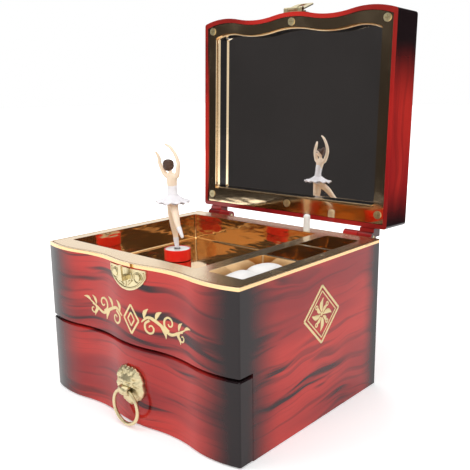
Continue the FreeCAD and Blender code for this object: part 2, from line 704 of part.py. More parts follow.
def opening(grow, z0, z1):
    """The mirror opening of the frame, larger by grow all round."""
    side = SIDE - frame_in - FRAME_SIDE + grow
    rear = REAR_Y - frame_in - FRAME_REAR + grow
    front = frame_in + FRAME_FRONT - grow
    return serpentine(side, rear, WAVE_Y + front, CORNER_Y + front, z0, z1)


screw_x = SIDE - frame_in - FRAME_SIDE / 2
screw_rear = REAR_Y - frame_in - FRAME_REAR / 2
screw_front = WAVE_Y + frame_in + FRAME_FRONT / 2
front_mid = FRONT_Y + frame_in + FRAME_FRONT / 2 - FRAME_WALL / 2
screw_spots = [(-screw_x, screw_front), (screw_x, screw_front), (-screw_x, screw_rear), (screw_x, screw_rear),
               (0, front_mid), (0, screw_rear)]
tube_room = opening(FRAME_STEP + FRAME_WALL + SEAT_GAP, frame_back, lid_ceiling)
lid_posts = []
for x, y in screw_spots:
    lid_posts.append(rod(POST_R, (x, y, frame_back), Z_AXIS, lid_ceiling - frame_back).cut(tube_room))
for sx in (-1, 1):
    for sy in (-1, 1):
        prop = (sx * PROP_X, sy * PROP_Y, mirror_back)
        lid_posts.append(rod(POST_R, prop, Z_AXIS, lid_ceiling - mirror_back))
lid_x1 = lid_knuckle_x + KNUCKLE_L
lid_arm = box(lid_knuckle_x, lid_x1, REAR_Y - LID_WALL / 2, HINGE_Y, LID_Z + SEAT_GAP, HINGE_Z + ARM_H)
lid_heel = box(lid_knuckle_x, lid_x1, REAR_Y + SLIDE_GAP, HINGE_Y, HINGE_Z, LID_Z + 1)
lid_pin_hole = rod(PIN_R + RUN_FIT, (0, HINGE_Y, HINGE_Z), X_AXIS, BIG)
lid_knuckle = joined([knuckle(lid_knuckle_x), lid_arm, lid_heel]).cut(lid_pin_hole)
lid_shell = joined([lid_shell] + lid_posts + mirrored_pair(lid_knuckle))
hasp_axis_y = FRONT_Y - HASP_T - HASP_KNUCKLE_R
hasp_axis_z = LID_Z + HASP_AXIS_RISE
hasp_rivet_z = hasp_axis_z + HASP_RIVET_RISE
lid_cuts = []
for x, y in screw_spots:
    lid_cuts.append(rod(FRAME_SCREW_R + TIGHT_FIT, (x, y, frame_z), Z_AXIS, FRAME_SCREW_L))
for sx in (-1, 1):
    start = (sx * HASP_RIVET_X, FRONT_Y - 1, hasp_rivet_z)
    lid_cuts.append(rod(RIVET_R + TIGHT_FIT, start, Y_AXIS, RIVET_L + 2))
keep("lid_shell", opened(lid_shell.cut(lid_cuts)))

# Mirror frame, mirror and frame screws
frame_face = outline(frame_in, frame_z, frame_back).cut(opening(FRAME_STEP, frame_z, frame_back))
frame_tube = opening(FRAME_STEP + FRAME_WALL, frame_back - FRAME_T / 2, mirror_z)
frame_tube = frame_tube.cut(opening(0, frame_back, mirror_z))
frame_tube = frame_tube.cut(opening(FRAME_STEP, frame_back - FRAME_T / 2, frame_back))
mirror_frame = joined([frame_face, frame_tube])
frame_screws = []
for x, y in screw_spots:
    mirror_frame = mirror_frame.cut(rod(FRAME_SCREW_R + TIGHT_FIT, (x, y, frame_z), Z_AXIS, FRAME_T))
    head = rod(FRAME_HEAD_R, (x, y, frame_z - FRAME_HEAD_T), Z_AXIS, FRAME_HEAD_T)
    slot_l = FRAME_HEAD_R * 1.3
    slot_z = frame_z - FRAME_HEAD_T
    for along, across in ((slot_l, CROSS_CUT_W), (CROSS_CUT_W, slot_l)):
        bar = Part.makeBox(along, across, CROSS_CUT_D, Vector(x - along / 2, y - across / 2, slot_z))
        head = head.cut(bar)
    frame_screws.append(head.fuse(rod(FRAME_SCREW_R, (x, y, frame_z), Z_AXIS, FRAME_SCREW_L - SLIDE_GAP)))
keep("mirror_frame", opened(mirror_frame))
keep("mirror", opened(opening(MIRROR_LAP, mirror_z, mirror_back)))
keep("frame_screws", opened(group(frame_screws)))

# Hasp: plate with two knuckles, rivets, pin and swinging leaf
plate_z0 = hasp_axis_z - HASP_KNUCKLE_R
hasp_blank = box(-HASP_W / 2, HASP_W / 2, -BIG / 2, 0, plate_z0, plate_z0 + HASP_PLATE_H)
hasp_plate = hugging(hasp_blank, HASP_T)
end_l = (HASP_W - HASP_MID_W) / 2 - HASP_GAP
hasp_pin_hole = rod(HASP_PIN_R + TIGHT_FIT, (-BIG / 2, hasp_axis_y, hasp_axis_z), X_AXIS, BIG)
knuckles = []
for x0 in (-HASP_W / 2, HASP_W / 2 - end_l):
    barrel = rod(HASP_KNUCKLE_R, (x0, hasp_axis_y, hasp_axis_z), X_AXIS, end_l)
    web = box(x0, x0 + end_l, hasp_axis_y, FRONT_Y - HASP_T / 2, hasp_axis_z - HASP_KNUCKLE_R, hasp_axis_z)
    knuckles.append(barrel.fuse(web))
hasp_plate = joined([hasp_plate] + knuckles).cut(hasp_pin_hole)
hasp_rivets = []
for sx in (-1, 1):
    x = sx * HASP_RIVET_X
    skin_y = FRONT_Y + HUMP_R - (HUMP_R ** 2 - x ** 2) ** 0.5
    seat = skin_y - HASP_T
    start = (x, seat - RIVET_HEAD_T, hasp_rivet_z)
    hasp_plate = hasp_plate.cut(rod(RIVET_R + TIGHT_FIT, start, Y_AXIS, BIG / 2))
    cap = rod(HASP_RIVET_HEAD_R, start, Y_AXIS, RIVET_HEAD_T + HASP_T)
    cap = cap.cut(rod(HUMP_R + HASP_T + TIGHT_FIT, (0, FRONT_Y + HUMP_R, -BIG), Z_AXIS, 2 * BIG))
    shank_l = RIVET_HEAD_T / 2 + HASP_T + RIVET_L
    hasp_rivets.append(cap.fuse(rod(RIVET_R, (x, seat - RIVET_HEAD_T / 2, hasp_rivet_z), Y_AXIS, shank_l)))
hasp_pin = rod(HASP_PIN_R, (-HASP_W / 2, hasp_axis_y, hasp_axis_z), X_AXIS, HASP_W)
mid_x = HASP_MID_W / 2
leaf_barrel = rod(HASP_KNUCKLE_R, (-mid_x, hasp_axis_y, hasp_axis_z), X_AXIS, HASP_MID_W)
leaf_y1 = hasp_axis_y + HASP_T / 2 - HASP_KNUCKLE_R / 2
leaf_y0 = leaf_y1 - HASP_T
slot_low = tongue_z - HASP_SLOT_GAP
leaf_low = slot_low - HASP_BAR
leaf_neck = box(-mid_x, mid_x, leaf_y0, leaf_y1, hasp_axis_z - 2 * HASP_KNUCKLE_R, hasp_axis_z)
leaf_plate = box(-HASP_W / 2, HASP_W / 2, leaf_y0, leaf_y1, leaf_low, hasp_axis_z - HASP_KNUCKLE_R - HASP_GAP)
low_edges = [e for e in leaf_plate.Edges if e.BoundBox.ZMax < leaf_low + 0.01]
leaf_plate = leaf_plate.makeFillet(HASP_W / 5, [e for e in low_edges if e.BoundBox.YLength > HASP_T / 2])
leaf_lip = rod(HASP_T * 0.8, (-HASP_W / 4, leaf_y0, leaf_low + HASP_T / 2), X_AXIS, HASP_W / 2)
slot_x = TONGUE_W / 2 + HASP_SLOT_GAP
slot_high = tongue_z + TONGUE_RISE + HASP_BAR
leaf_slot = box(-slot_x, slot_x, leaf_y0 - 1, leaf_y1 + 1, slot_low, slot_high)
leaf_hole = rod(HASP_PIN_R + RUN_FIT, (-BIG / 2, hasp_axis_y, hasp_axis_z), X_AXIS, BIG)
hasp_leaf = joined([leaf_barrel, leaf_neck, leaf_plate, leaf_lip]).cut([leaf_hole, leaf_slot])
hasp_leaf.rotate(Vector(0, hasp_axis_y, hasp_axis_z), X_AXIS, -HASP_REST)
keep("hasp_plate", opened(hasp_plate))
keep("hasp_rivets", opened(group(hasp_rivets)))
keep("hasp_pin", opened(hasp_pin))
keep("hasp_leaf", opened(hasp_leaf))


# Wheels
def wheel(teeth, module, width, share):
    """Spur wheel about +z from z 0, with a tooth on +x; share is the tooth's part of the pitch."""
    pitch_r = teeth * module / 2
    tip_r = pitch_r + TOOTH_RISE * module
    root_r = pitch_r - TOOTH_FALL * module
    half = share * pi * module / 2
    flank = tan(radians(20))
    tip_half = (half - flank * (tip_r - pitch_r)) / tip_r
    root_half = (half + flank * (pitch_r - root_r)) / root_r
    points = []
    for n in range(teeth):
        a = 2 * pi * n / teeth
        for radius, angle in ((root_r, a - root_half), (tip_r, a - tip_half),
                              (tip_r, a + tip_half), (root_r, a + root_half)):
            points.append(Vector(radius * cos(angle), radius * sin(angle), 0))
    return Part.Face(Part.makePolygon(points + points[:1])).extrude(Vector(0, 0, width))


def lengthwise(shape, x, y, z, turn):
    """A piece drawn about +z from z 0, turned about its axis, then laid along +y at x, y, z."""
    laid = shape.copy()
    laid.rotate(Vector(0, 0, 0), Z_AXIS, turn)
    laid.rotate(Vector(0, 0, 0), X_AXIS, -90)
    laid.translate(Vector(x, y, z))
    return laid


# Movement bed with its two cheeks and comb block
bed_x0 = PED_X - BED_LEFT
bed_x1 = PED_X + BED_RIGHT
front_cheek = PED_Y + CHEEK_FRONT
rear_cheek = PED_Y + CHEEK_REAR
lean = radians(GOVERNOR_LEAN)
governor_gap = GOVERNOR_MODULE * (GOVERNOR_WHEEL_TEETH + GOVERNOR_PINION_TEETH) / 2
fly_x = PED_X - governor_gap * cos(lean)
fly_z = AXIS_Z + governor_gap * sin(lean)
cheek_x0 = fly_x - 4 * FLY_R
cheek_x1 = barrel_x + DRUM_R
cylinder_y0 = front_cheek + CHEEK_T + GEAR_W + 2 * SLIDE_GAP + 1
cylinder_y1 = cylinder_y0 + CYLINDER_L
comb_tip = PED_X - CYLINDER_R - PEG_H - COMB_TIP_GAP
comb_root = comb_tip - COMB_TOOTH_L
comb_end = comb_root - COMB_BODY_L
comb_z = AXIS_Z - COMB_T / 2
block_x1 = comb_root - 1
block_x0 = block_x1 - COMB_BLOCK_W
bed = box(bed_x0, bed_x1, PED_Y - BED_FRONT, PED_Y + BED_REAR, SHELF_TOP, BED_TOP)
cheek_top = BED_TOP + CHEEK_H
cheeks = [box(cheek_x0, cheek_x1, y, y + CHEEK_T, BED_TOP, cheek_top) for y in (front_cheek, rear_cheek)]
block = box(block_x0, block_x1, cylinder_y0, cylinder_y1, BED_TOP, comb_z)
comb_screw_ys = [cylinder_y0 + CYLINDER_L * 0.25, cylinder_y0 + CYLINDER_L * 0.75]
comb_screw_x = (block_x0 + block_x1) / 2
bed_cuts = [
    rod(ARBOR_R + RUN_FIT, (PED_X, 0, AXIS_Z), Y_AXIS, BIG),
    rod(WIND_R + RUN_FIT, (barrel_x, 0, AXIS_Z), Y_AXIS, BIG),
    rod(FLY_R + RUN_FIT, (fly_x, 0, fly_z), Y_AXIS, BIG),
    rod(SHAFT_R + RUN_FIT, (PED_X, PED_Y, SHELF_TOP), Z_AXIS, BED_T),
]
bed_spots = [(bed_x0 + 4, PED_Y), (bed_x1 - 3, PED_Y), (bed_x1 - 3, PED_Y + BED_REAR - 8)]
movement_screws = []
comb_screw_l = COMB_T + 4
for x, y in bed_spots:
    reach = BED_T + SHELF_T
    bed_cuts.append(rod(COMB_SCREW_R + TIGHT_FIT, (x, y, SHELF_TOP), Z_AXIS, BED_T))
    movement_shelf = movement_shelf.cut(rod(COMB_SCREW_R + TIGHT_FIT, (x, y, SHELL_Z), Z_AXIS, SHELF_T))
    head = rod(SMALL_HEAD_R, (x, y, BED_TOP), Z_AXIS, SMALL_HEAD_T)
    movement_screws.append(head.fuse(rod(COMB_SCREW_R, (x, y, BED_TOP - reach), Z_AXIS, reach)))
comb = box(comb_end, comb_root, cylinder_y0, cylinder_y1, comb_z, comb_z + COMB_T)
comb_pitch = CYLINDER_L / COMB_TEETH
teeth = []
for n in range(COMB_TEETH):
    y = cylinder_y0 + (n + 0.5) * comb_pitch - COMB_TOOTH_W / 2
    teeth.append(box(comb_root - 1, comb_tip, y, y + COMB_TOOTH_W, comb_z, comb_z + COMB_T))
comb = joined([comb] + teeth)
comb_screws = []
for y in comb_screw_ys:
    start = (comb_screw_x, y, comb_z + COMB_T - comb_screw_l)
    hole = rod(COMB_SCREW_R + TIGHT_FIT, start, Z_AXIS, comb_screw_l)
    comb = comb.cut(hole)
    bed_cuts.append(hole)
    head = rod(SMALL_HEAD_R, (comb_screw_x, y, comb_z + COMB_T), Z_AXIS, SMALL_HEAD_T)
    comb_screws.append(head.fuse(rod(COMB_SCREW_R, start, Z_AXIS, comb_screw_l)))
keep("movement_bed", joined([bed, block] + cheeks).cut(bed_cuts))
keep("movement_shelf", movement_shelf)
keep("movement_screws", group(movement_screws))
keep("tone_comb", comb)
keep("comb_screws", group(comb_screws))

# Spring barrel with its wheel, mainspring, winding arbor and key
gear_y = front_cheek + CHEEK_T + 1
barrel_wheel = wheel(BARREL_TEETH, WHEEL_MODULE, GEAR_W, TOOTH_SHARE)
drum_y1 = cylinder_y1 - 1
drum = Part.makeCylinder(DRUM_R, drum_y1 - gear_y)
drum_hollow = Part.makeCylinder(DRUM_R - DRUM_WALL, drum_y1 - gear_y, Vector(0, 0, GEAR_W))
arbor_bore = Part.makeCylinder(WIND_R + RUN_FIT, BIG, Vector(0, 0, -1))
barrel = barrel_wheel.fuse(drum).cut(drum_hollow).cut(arbor_bore)
keep("spring_barrel", lengthwise(barrel, barrel_x, gear_y, AXIS_Z, 0))
spring_l = drum_y1 - gear_y - GEAR_W - 1
coil = Part.makeCylinder(DRUM_R - DRUM_WALL - SLIDE_GAP, spring_l)
coil = coil.cut(Part.makeCylinder(WIND_R + SLIDE_GAP, spring_l))
keep("mainspring", lengthwise(coil, barrel_x, gear_y + GEAR_W + SEAT_GAP, AXIS_Z, 0))
key_y = REAR_Y + KEY_OUT
wind_y0 = front_cheek - 1
keep("winding_arbor", rod(WIND_R, (barrel_x, wind_y0, AXIS_Z), Y_AXIS, key_y + KEY_HUB_L / 2 - wind_y0))
hub = rod(KEY_HUB_R, (barrel_x, key_y, AXIS_Z), Y_AXIS, KEY_HUB_L)
wings = []
for sx in (-1, 1):
    start = (barrel_x + sx * KEY_WING_R, key_y + KEY_HUB_L, AXIS_Z - KEY_WING_T / 2)
    wing = rod(KEY_WING_R, start, Z_AXIS, KEY_WING_T)
    wings.append(wing.cut(rod(KEY_WING_R / 2, start, Z_AXIS, KEY_WING_T)))
wing_front = box(-BIG, BIG, -BIG, key_y + SLIDE_GAP, -BIG, BIG)
key = joined([hub] + [v.cut(wing_front) for v in wings])
keep("winding_key", key.cut(rod(WIND_R + TIGHT_FIT, (barrel_x, key_y, AXIS_Z), Y_AXIS, KEY_HUB_L / 2)))

# Pin cylinder and its arbor with three wheels
cylinder = rod(CYLINDER_R, (PED_X, cylinder_y0, AXIS_Z), Y_AXIS, CYLINDER_L)
pegs = []
for n in range(PEG_ROWS):
    a = n * 2.399963
    y = cylinder_y0 + (n + 0.5) * CYLINDER_L / PEG_ROWS
    out = Vector(cos(a), 0, sin(a))
    foot = Vector(PED_X, y, AXIS_Z) + out * (CYLINDER_R - PEG_H)
    pegs.append(Part.makeCylinder(PEG_R, 2 * PEG_H, foot, out))
cylinder = cylinder.fuse(pegs).cut(rod(ARBOR_R + TIGHT_FIT, (PED_X, cylinder_y0, AXIS_Z), Y_AXIS, CYLINDER_L))
keep("pin_cylinder", cylinder)
pinion_turn = 180.0 / PINION_TEETH
crown_module = 2 * CROWN_R / CROWN_TEETH
pinion_y = PED_Y + CROWN_R - CROWN_FACE / 2
crown_pinion_r = crown_module * CROWN_PINION_TEETH / 2
governor_y = cylinder_y1 + 1
arbor_y1 = rear_cheek + CHEEK_T + 1
arbor = joined([
    rod(ARBOR_R, (PED_X, pinion_y, AXIS_Z), Y_AXIS, arbor_y1 - pinion_y),
    lengthwise(wheel(CROWN_PINION_TEETH, crown_module, CROWN_FACE, CROWN_SHARE), PED_X, pinion_y, AXIS_Z,
               90 + 180.0 / CROWN_PINION_TEETH),
    lengthwise(wheel(PINION_TEETH, WHEEL_MODULE, GEAR_W, TOOTH_SHARE), PED_X, gear_y, AXIS_Z,
               pinion_turn),
    lengthwise(wheel(GOVERNOR_WHEEL_TEETH, GOVERNOR_MODULE, GEAR_W, TOOTH_SHARE), PED_X, governor_y, AXIS_Z,
               GOVERNOR_LEAN - 180),
])
keep("cylinder_arbor", arbor)

# Governor fly: pinion, arbor and two fan blades behind the rear cheek
fan_y = rear_cheek + CHEEK_T + 1.5
fly_y0 = front_cheek - 0.5
fan = [box(fly_x - FAN_R, fly_x + FAN_R, fan_y, fan_y + FAN_L, fly_z - FAN_T / 2, fly_z + FAN_T / 2),
       rod(2 * FLY_R, (fly_x, fan_y - 0.5, fly_z), Y_AXIS, FAN_L + 0.5)]
pinion_blank = wheel(GOVERNOR_PINION_TEETH, GOVERNOR_MODULE, GEAR_W, TOOTH_SHARE)
pinion_gap = GOVERNOR_LEAN + 180.0 / GOVERNOR_PINION_TEETH
governor_pinion = lengthwise(pinion_blank, fly_x, governor_y, fly_z, pinion_gap)
fly_rod = rod(FLY_R, (fly_x, fly_y0, fly_z), Y_AXIS, fan_y + FAN_L - fly_y0)
keep("governor_fly", joined([fly_rod, governor_pinion] + fan))


# Turntable: crown wheel, shaft, bush, pedestal cup and disc
def turned(radius, z0, z1):
    """A cylinder on the pedestal's axis."""
    return rod(radius, (PED_X, PED_Y, z0), Z_AXIS, z1 - z0)


crown_pitch_z = AXIS_Z - crown_pinion_r
crown_tip = crown_pitch_z + TOOTH_RISE * crown_module
crown_root = crown_pitch_z - TOOTH_FALL * crown_module
crown_in = CROWN_R - CROWN_FACE / 2 - SEAT_GAP
crown_out = CROWN_R + CROWN_FACE / 2 + SEAT_GAP
crown = [turned(crown_out, crown_root - CROWN_BODY_T, crown_root)]
for n in range(CROWN_TEETH):
    tooth = box(-CROWN_TOOTH_W / 2, CROWN_TOOTH_W / 2, crown_in, crown_out, crown_root, crown_tip)
    tooth.rotate(Vector(0, 0, 0), Z_AXIS, 360.0 * n / CROWN_TEETH)
    tooth.translate(Vector(PED_X, PED_Y, 0))
    crown.append(tooth)
keep("crown_wheel", joined(crown).cut(turned(SHAFT_R + TIGHT_FIT, 0, BIG)))
ped_z0 = FLOOR_Z + PED_CLEAR
ped_top = FLOOR_Z + PED_H
disc_z0 = ped_top - DISC_T - CUP_LIP
shaft_top = disc_z0 - SPRING_H
keep("turntable_shaft", turned(SHAFT_R, SHELF_TOP + SEAT_GAP, shaft_top))
bush = joined([
    turned(BUSH_R, TRAY_UNDER, FLOOR_Z),
    turned(BUSH_FLANGE_R, FLOOR_Z, FLOOR_Z + BUSH_FLANGE_T),
])
keep("turntable_bush", bush.cut(turned(SHAFT_R + RUN_FIT, 0, BIG)))
cup = turned(PED_R, ped_z0, ped_top)
cup = cup.makeFillet(CUP_LIP, cup.Edges)
cup = cup.cut([
    turned(DISC_R + SEAT_GAP, disc_z0, BIG),
    turned(PED_RECESS_R, ped_z0, ped_z0 + PED_RECESS_H),
    turned(SHAFT_R + TIGHT_FIT, ped_z0, shaft_top),
    turned(DISC_HOLE_R, shaft_top, BIG),
])
keep("pedestal_cup", cup)
keep("pedestal_disc", turned(DISC_R, disc_z0, disc_z0 + DISC_T).cut(turned(DISC_HOLE_R, 0, BIG)))
tilt_z = ped_top + TILT_RISE
keep("figure_spring", turned(SPRING_R, shaft_top, tilt_z).cut(turned(SPRING_BORE_R, 0, BIG)))


# Ballerina seen from behind, in hundredths of the figure's height: x to the right, y away, z up
def at(x, y, z):
    return Vector(x * FIGURE_H / 100, y * FIGURE_H / 100, z * FIGURE_H / 100)


def limb(points):
    """A chain of tapering cones with balls at its joints; each point is x, y, z and radius."""
    places = [(at(*p[:3]), p[3] * FIGURE_H / 100) for p in points]
    pieces = []
    for (a, start_r), (b, end_r) in zip(places, places[1:]):
        pieces.append(cone(start_r, end_r, a, b))
    pieces += [ball(r, p) for p, r in places[1:]]
    return pieces


def oval(x, y, z, rx, ry, turn):
    """An oval section of the trunk, of four arcs, turned in degrees with the shoulders."""
    points = [(rx, 0), (rx * 0.7, ry * 0.75), (0, ry), (-rx * 0.7, ry * 0.75), (-rx, 0)]
    back = [(px, -py) for px, py in reversed(points)]
    c = cos(radians(turn))
    s = sin(radians(turn))
    arcs = []
    for side in (points, back):
        places = [at(x + px * c - py * s, y + px * s + py * c, z) for px, py in side]
        arcs.append(Part.Arc(*places[0:3]).toShape())
        arcs.append(Part.Arc(*places[2:5]).toShape())
    return Part.Wire(arcs)


trunk = Part.makeLoft([
    oval(-3.2, 0, 41.3, 5.4, 4.2, 0),
    oval(-3.1, 0.2, 46.8, 5.4, 4.2, 0),
    oval(-3.2, -0.1, 55.1, 4.5, 3.3, -10),
    oval(-3.3, -1.3, 63.0, 5.2, 3.5, -24),
    oval(-3.3, -2.3, 69.6, 5.8, 3.1, -33),
    oval(-3.7, -2.4, 72.4, 2.2, 2.0, -33),
], True)
standing_leg = limb([(-0.4, 0, 0.4, 1.3), (-0.9, 0, 5.5, 1.8), (-1.5, 0.2, 12.0, 2.0), (-2.2, 0, 19.0, 3.0),
                     (-3.0, 0.4, 26.0, 3.3), (-3.5, 0, 34.0, 4.0), (-3.4, 0, 42.7, 4.4)])
free_leg = limb([(-2.8, -0.8, 42.7, 3.6), (0, -11.4, 35.1, 2.9), (2.2, -18.6, 26.5, 2.2),
                 (4.6, -23.2, 21.4, 1.7), (7.2, -27.2, 15.8, 1.0)])
left_arm = limb([(-8.2, 0.8, 69.0, 1.9), (-12.2, 2.0, 75.0, 1.6), (-14.4, 2.2, 80.8, 1.4),
                 (-15.2, 1.0, 87.0, 1.2), (-17.4, -0.4, 91.2, 0.9)])
right_arm = limb([(1.6, -5.4, 69.0, 1.9), (3.2, -7.6, 75.6, 1.6), (3.8, -8.4, 82.4, 1.4),
                  (1.0, -7.2, 90.0, 1.2), (-3.4, -5.2, 96.2, 1.0), (-8.0, -3.6, 99.0, 0.8)])
shoulders = limb([(-3.3, -2.3, 69.0, 1.9), (-8.2, 0.8, 69.0, 1.9), (1.6, -5.4, 69.0, 1.9)])
neck = limb([(-3.7, -2.4, 70.6, 2.0), (-5.2, -2.1, 75.6, 1.9)])
head = [ball(DOLL_HEAD_R, at(-6.0, -1.9, 78.5)), ball(BUN_R, at(-6.3, -6.4, 80.5))]
figure = trunk.fuse(standing_leg + free_leg + left_arm + right_arm + shoulders + neck + head)
waist = at(-2.9, 0, 0) + Vector(0, 0, TUTU_Z)
tutu_plate = rod(TUTU_R, waist, Z_AXIS, TUTU_T).fuse(
    Part.makeCone(TUTU_R * 0.55, TUTU_R * 0.315, TUTU_RISE, waist + Vector(0, 0, TUTU_T)))
tutu = tutu_plate.cut(figure)
tutu = max(tutu.Solids, key=lambda solid: solid.Volume)


def stood(shape):
    placed = shape.copy()
    placed.rotate(Vector(0, 0, 0), Z_AXIS, FIGURE_TURN)
    placed.translate(Vector(PED_X, PED_Y, tilt_z))
    return placed


keep("ballerina", stood(figure))
keep("tutu", stood(tutu))

# Stop plunger with its foot, return spring, stop lever and bracket
lever_z = SHELF_TOP + LEVER_Z
right_end = PLUNGER_X - PLUNGER_R - 1.6
drop = (right_end - 2 - LEVER_PIVOT_X) * sin(radians(LEVER_TILT))
plunger_top = LID_Z + FRAME_SINK - PLUNGER_REST + PLUNGER_TRAVEL
foot_z = lever_z + LEVER_T / 2 - drop + SLIDE_GAP + PLUNGER_TRAVEL
stick = rod(PLUNGER_R, (PLUNGER_X, PLUNGER_Y, foot_z), Z_AXIS, plunger_top - foot_z)
stick = stick.makeFillet(PLUNGER_R * 0.8, [e for e in stick.Edges if e.BoundBox.ZMin > plunger_top - 0.01])
foot_y = PLUNGER_Y - FOOT_W / 2
foot = box(PLUNGER_X - FOOT_L, PLUNGER_X, foot_y, foot_y + FOOT_W, foot_z, foot_z + FOOT_T)
keep("stop_plunger", joined([stick, foot]))
spring_start = (PLUNGER_X, PLUNGER_Y, SHELF_TOP)
spring_l = foot_z - SHELF_TOP
return_spring = rod(PLUNGER_R, spring_start, Z_AXIS, spring_l)
keep("plunger_spring", return_spring.cut(rod(PLUNGER_R * 0.7, spring_start, Z_AXIS, spring_l)))
lever_y0 = PLUNGER_Y - LEVER_W / 2
lever_y1 = PLUNGER_Y + LEVER_W / 2
pad_y0 = fan_y + FAN_L - LEVER_REACH
lift = (LEVER_PIVOT_X - fly_x) * sin(radians(LEVER_TILT))
pad_top = fly_z - FAN_R - SLIDE_GAP - lift
lever_low = lever_z - LEVER_T / 2
lever_high = lever_z + LEVER_T / 2
arm_x0 = fly_x - LEVER_W / 2
arm_x1 = fly_x + LEVER_W / 2
lever = joined([
    box(arm_x0, right_end, lever_y0, lever_y1, lever_low, lever_high),
    box(arm_x0, arm_x1, pad_y0, lever_y1, lever_low, lever_high),
    box(arm_x0, arm_x1, pad_y0, pad_y0 + LEVER_W, lever_low, pad_top),
])
keep("stop_lever", lever.cut(rod(LEVER_PIN_R + RUN_FIT, (LEVER_PIVOT_X, 0, lever_z), Y_AXIS, BIG)))
ear_y0 = lever_y0 - EAR_GAP - EAR_T
ear_y1 = lever_y1 + EAR_GAP + EAR_T
ear_x0 = LEVER_PIVOT_X - BRACKET_L / 4
ear_x1 = LEVER_PIVOT_X + BRACKET_L / 4
ears = [box(ear_x0, ear_x1, y, y + EAR_T, SHELF_TOP, lever_z + LEVER_T) for y in (ear_y0, ear_y1 - EAR_T)]
sole_x = LEVER_PIVOT_X - BRACKET_L / 2
sole = box(sole_x, sole_x + BRACKET_L, ear_y0, ear_y1, SHELF_TOP, SHELF_TOP + EAR_T)
pivot_pin = rod(LEVER_PIN_R, (LEVER_PIVOT_X, ear_y0, lever_z), Y_AXIS, ear_y1 - ear_y0)
keep("lever_bracket", joined(ears + [sole, pivot_pin]))
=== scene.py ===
import json
from math import cos, degrees, exp, hypot, pi, radians, sin, sqrt, tau

import bpy
from bpy.props import FloatProperty, FloatVectorProperty, IntProperty, PointerProperty
from mathutils import Euler, Matrix, Vector
from mathutils.bvhtree import BVHTree

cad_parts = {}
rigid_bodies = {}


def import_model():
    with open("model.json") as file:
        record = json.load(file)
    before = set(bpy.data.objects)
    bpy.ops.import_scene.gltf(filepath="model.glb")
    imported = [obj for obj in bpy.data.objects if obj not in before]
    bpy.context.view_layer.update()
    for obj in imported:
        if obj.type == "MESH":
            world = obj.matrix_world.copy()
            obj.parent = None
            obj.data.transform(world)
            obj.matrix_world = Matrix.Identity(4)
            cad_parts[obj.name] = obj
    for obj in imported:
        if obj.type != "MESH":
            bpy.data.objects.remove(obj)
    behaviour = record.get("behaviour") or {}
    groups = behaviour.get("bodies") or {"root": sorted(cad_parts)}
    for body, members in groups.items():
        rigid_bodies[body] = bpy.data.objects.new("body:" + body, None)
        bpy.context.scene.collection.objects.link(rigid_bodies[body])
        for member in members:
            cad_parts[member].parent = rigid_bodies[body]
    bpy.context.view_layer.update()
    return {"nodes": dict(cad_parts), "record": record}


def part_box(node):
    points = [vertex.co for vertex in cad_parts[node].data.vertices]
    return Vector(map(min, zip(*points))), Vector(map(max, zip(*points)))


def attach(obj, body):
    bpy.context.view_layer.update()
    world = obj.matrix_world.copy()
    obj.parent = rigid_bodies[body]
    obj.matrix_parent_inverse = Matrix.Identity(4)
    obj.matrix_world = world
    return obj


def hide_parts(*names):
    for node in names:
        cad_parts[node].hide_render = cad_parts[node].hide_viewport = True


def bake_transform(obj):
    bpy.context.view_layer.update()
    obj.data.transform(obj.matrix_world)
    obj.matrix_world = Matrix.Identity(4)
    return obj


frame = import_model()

bl_info = {
    "name": "Ballerina jewellery box",
    "version": (1, 0, 0),
    "blender": (4, 5, 0),
    "location": "View3D > Sidebar > Jewellery box",
    "description": "Finishes, soft pieces, figure and ornaments of a musical jewellery box, with its studio",
    "category": "Object",
}

MM = 0.001
BLACK = (0, 0, 0, 1)
ORIGIN = (0, 0, 0)
# A distance from the middle that is clear of the case on every side
OUTSIDE = 0.2
# How far the front's corners stand behind its foremost hump
CORNER_SETBACK = 3.7 * MM
JOINTS = {joint["name"]: joint for joint in frame["record"]["behaviour"]["joints"]}
LID_OPEN = radians(JOINTS["lid_hinge"]["range_deg"][1])
CASE_LOW, CASE_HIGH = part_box("case_shell")


# Settings that a user would change

def length(name, description, default):
    return FloatProperty(name=name, description=description, default=default, unit="LENGTH", precision=5)


def angle(name, description, default):
    return FloatProperty(name=name, description=description, default=radians(default), subtype="ANGLE")


def share(name, description, default):
    return FloatProperty(name=name, description=description, default=default, min=0, max=1, subtype="FACTOR")


def colour(name, description, default):
    return FloatVectorProperty(name=name, description=description, default=default, size=3, min=0, max=1,
                               subtype="COLOR")


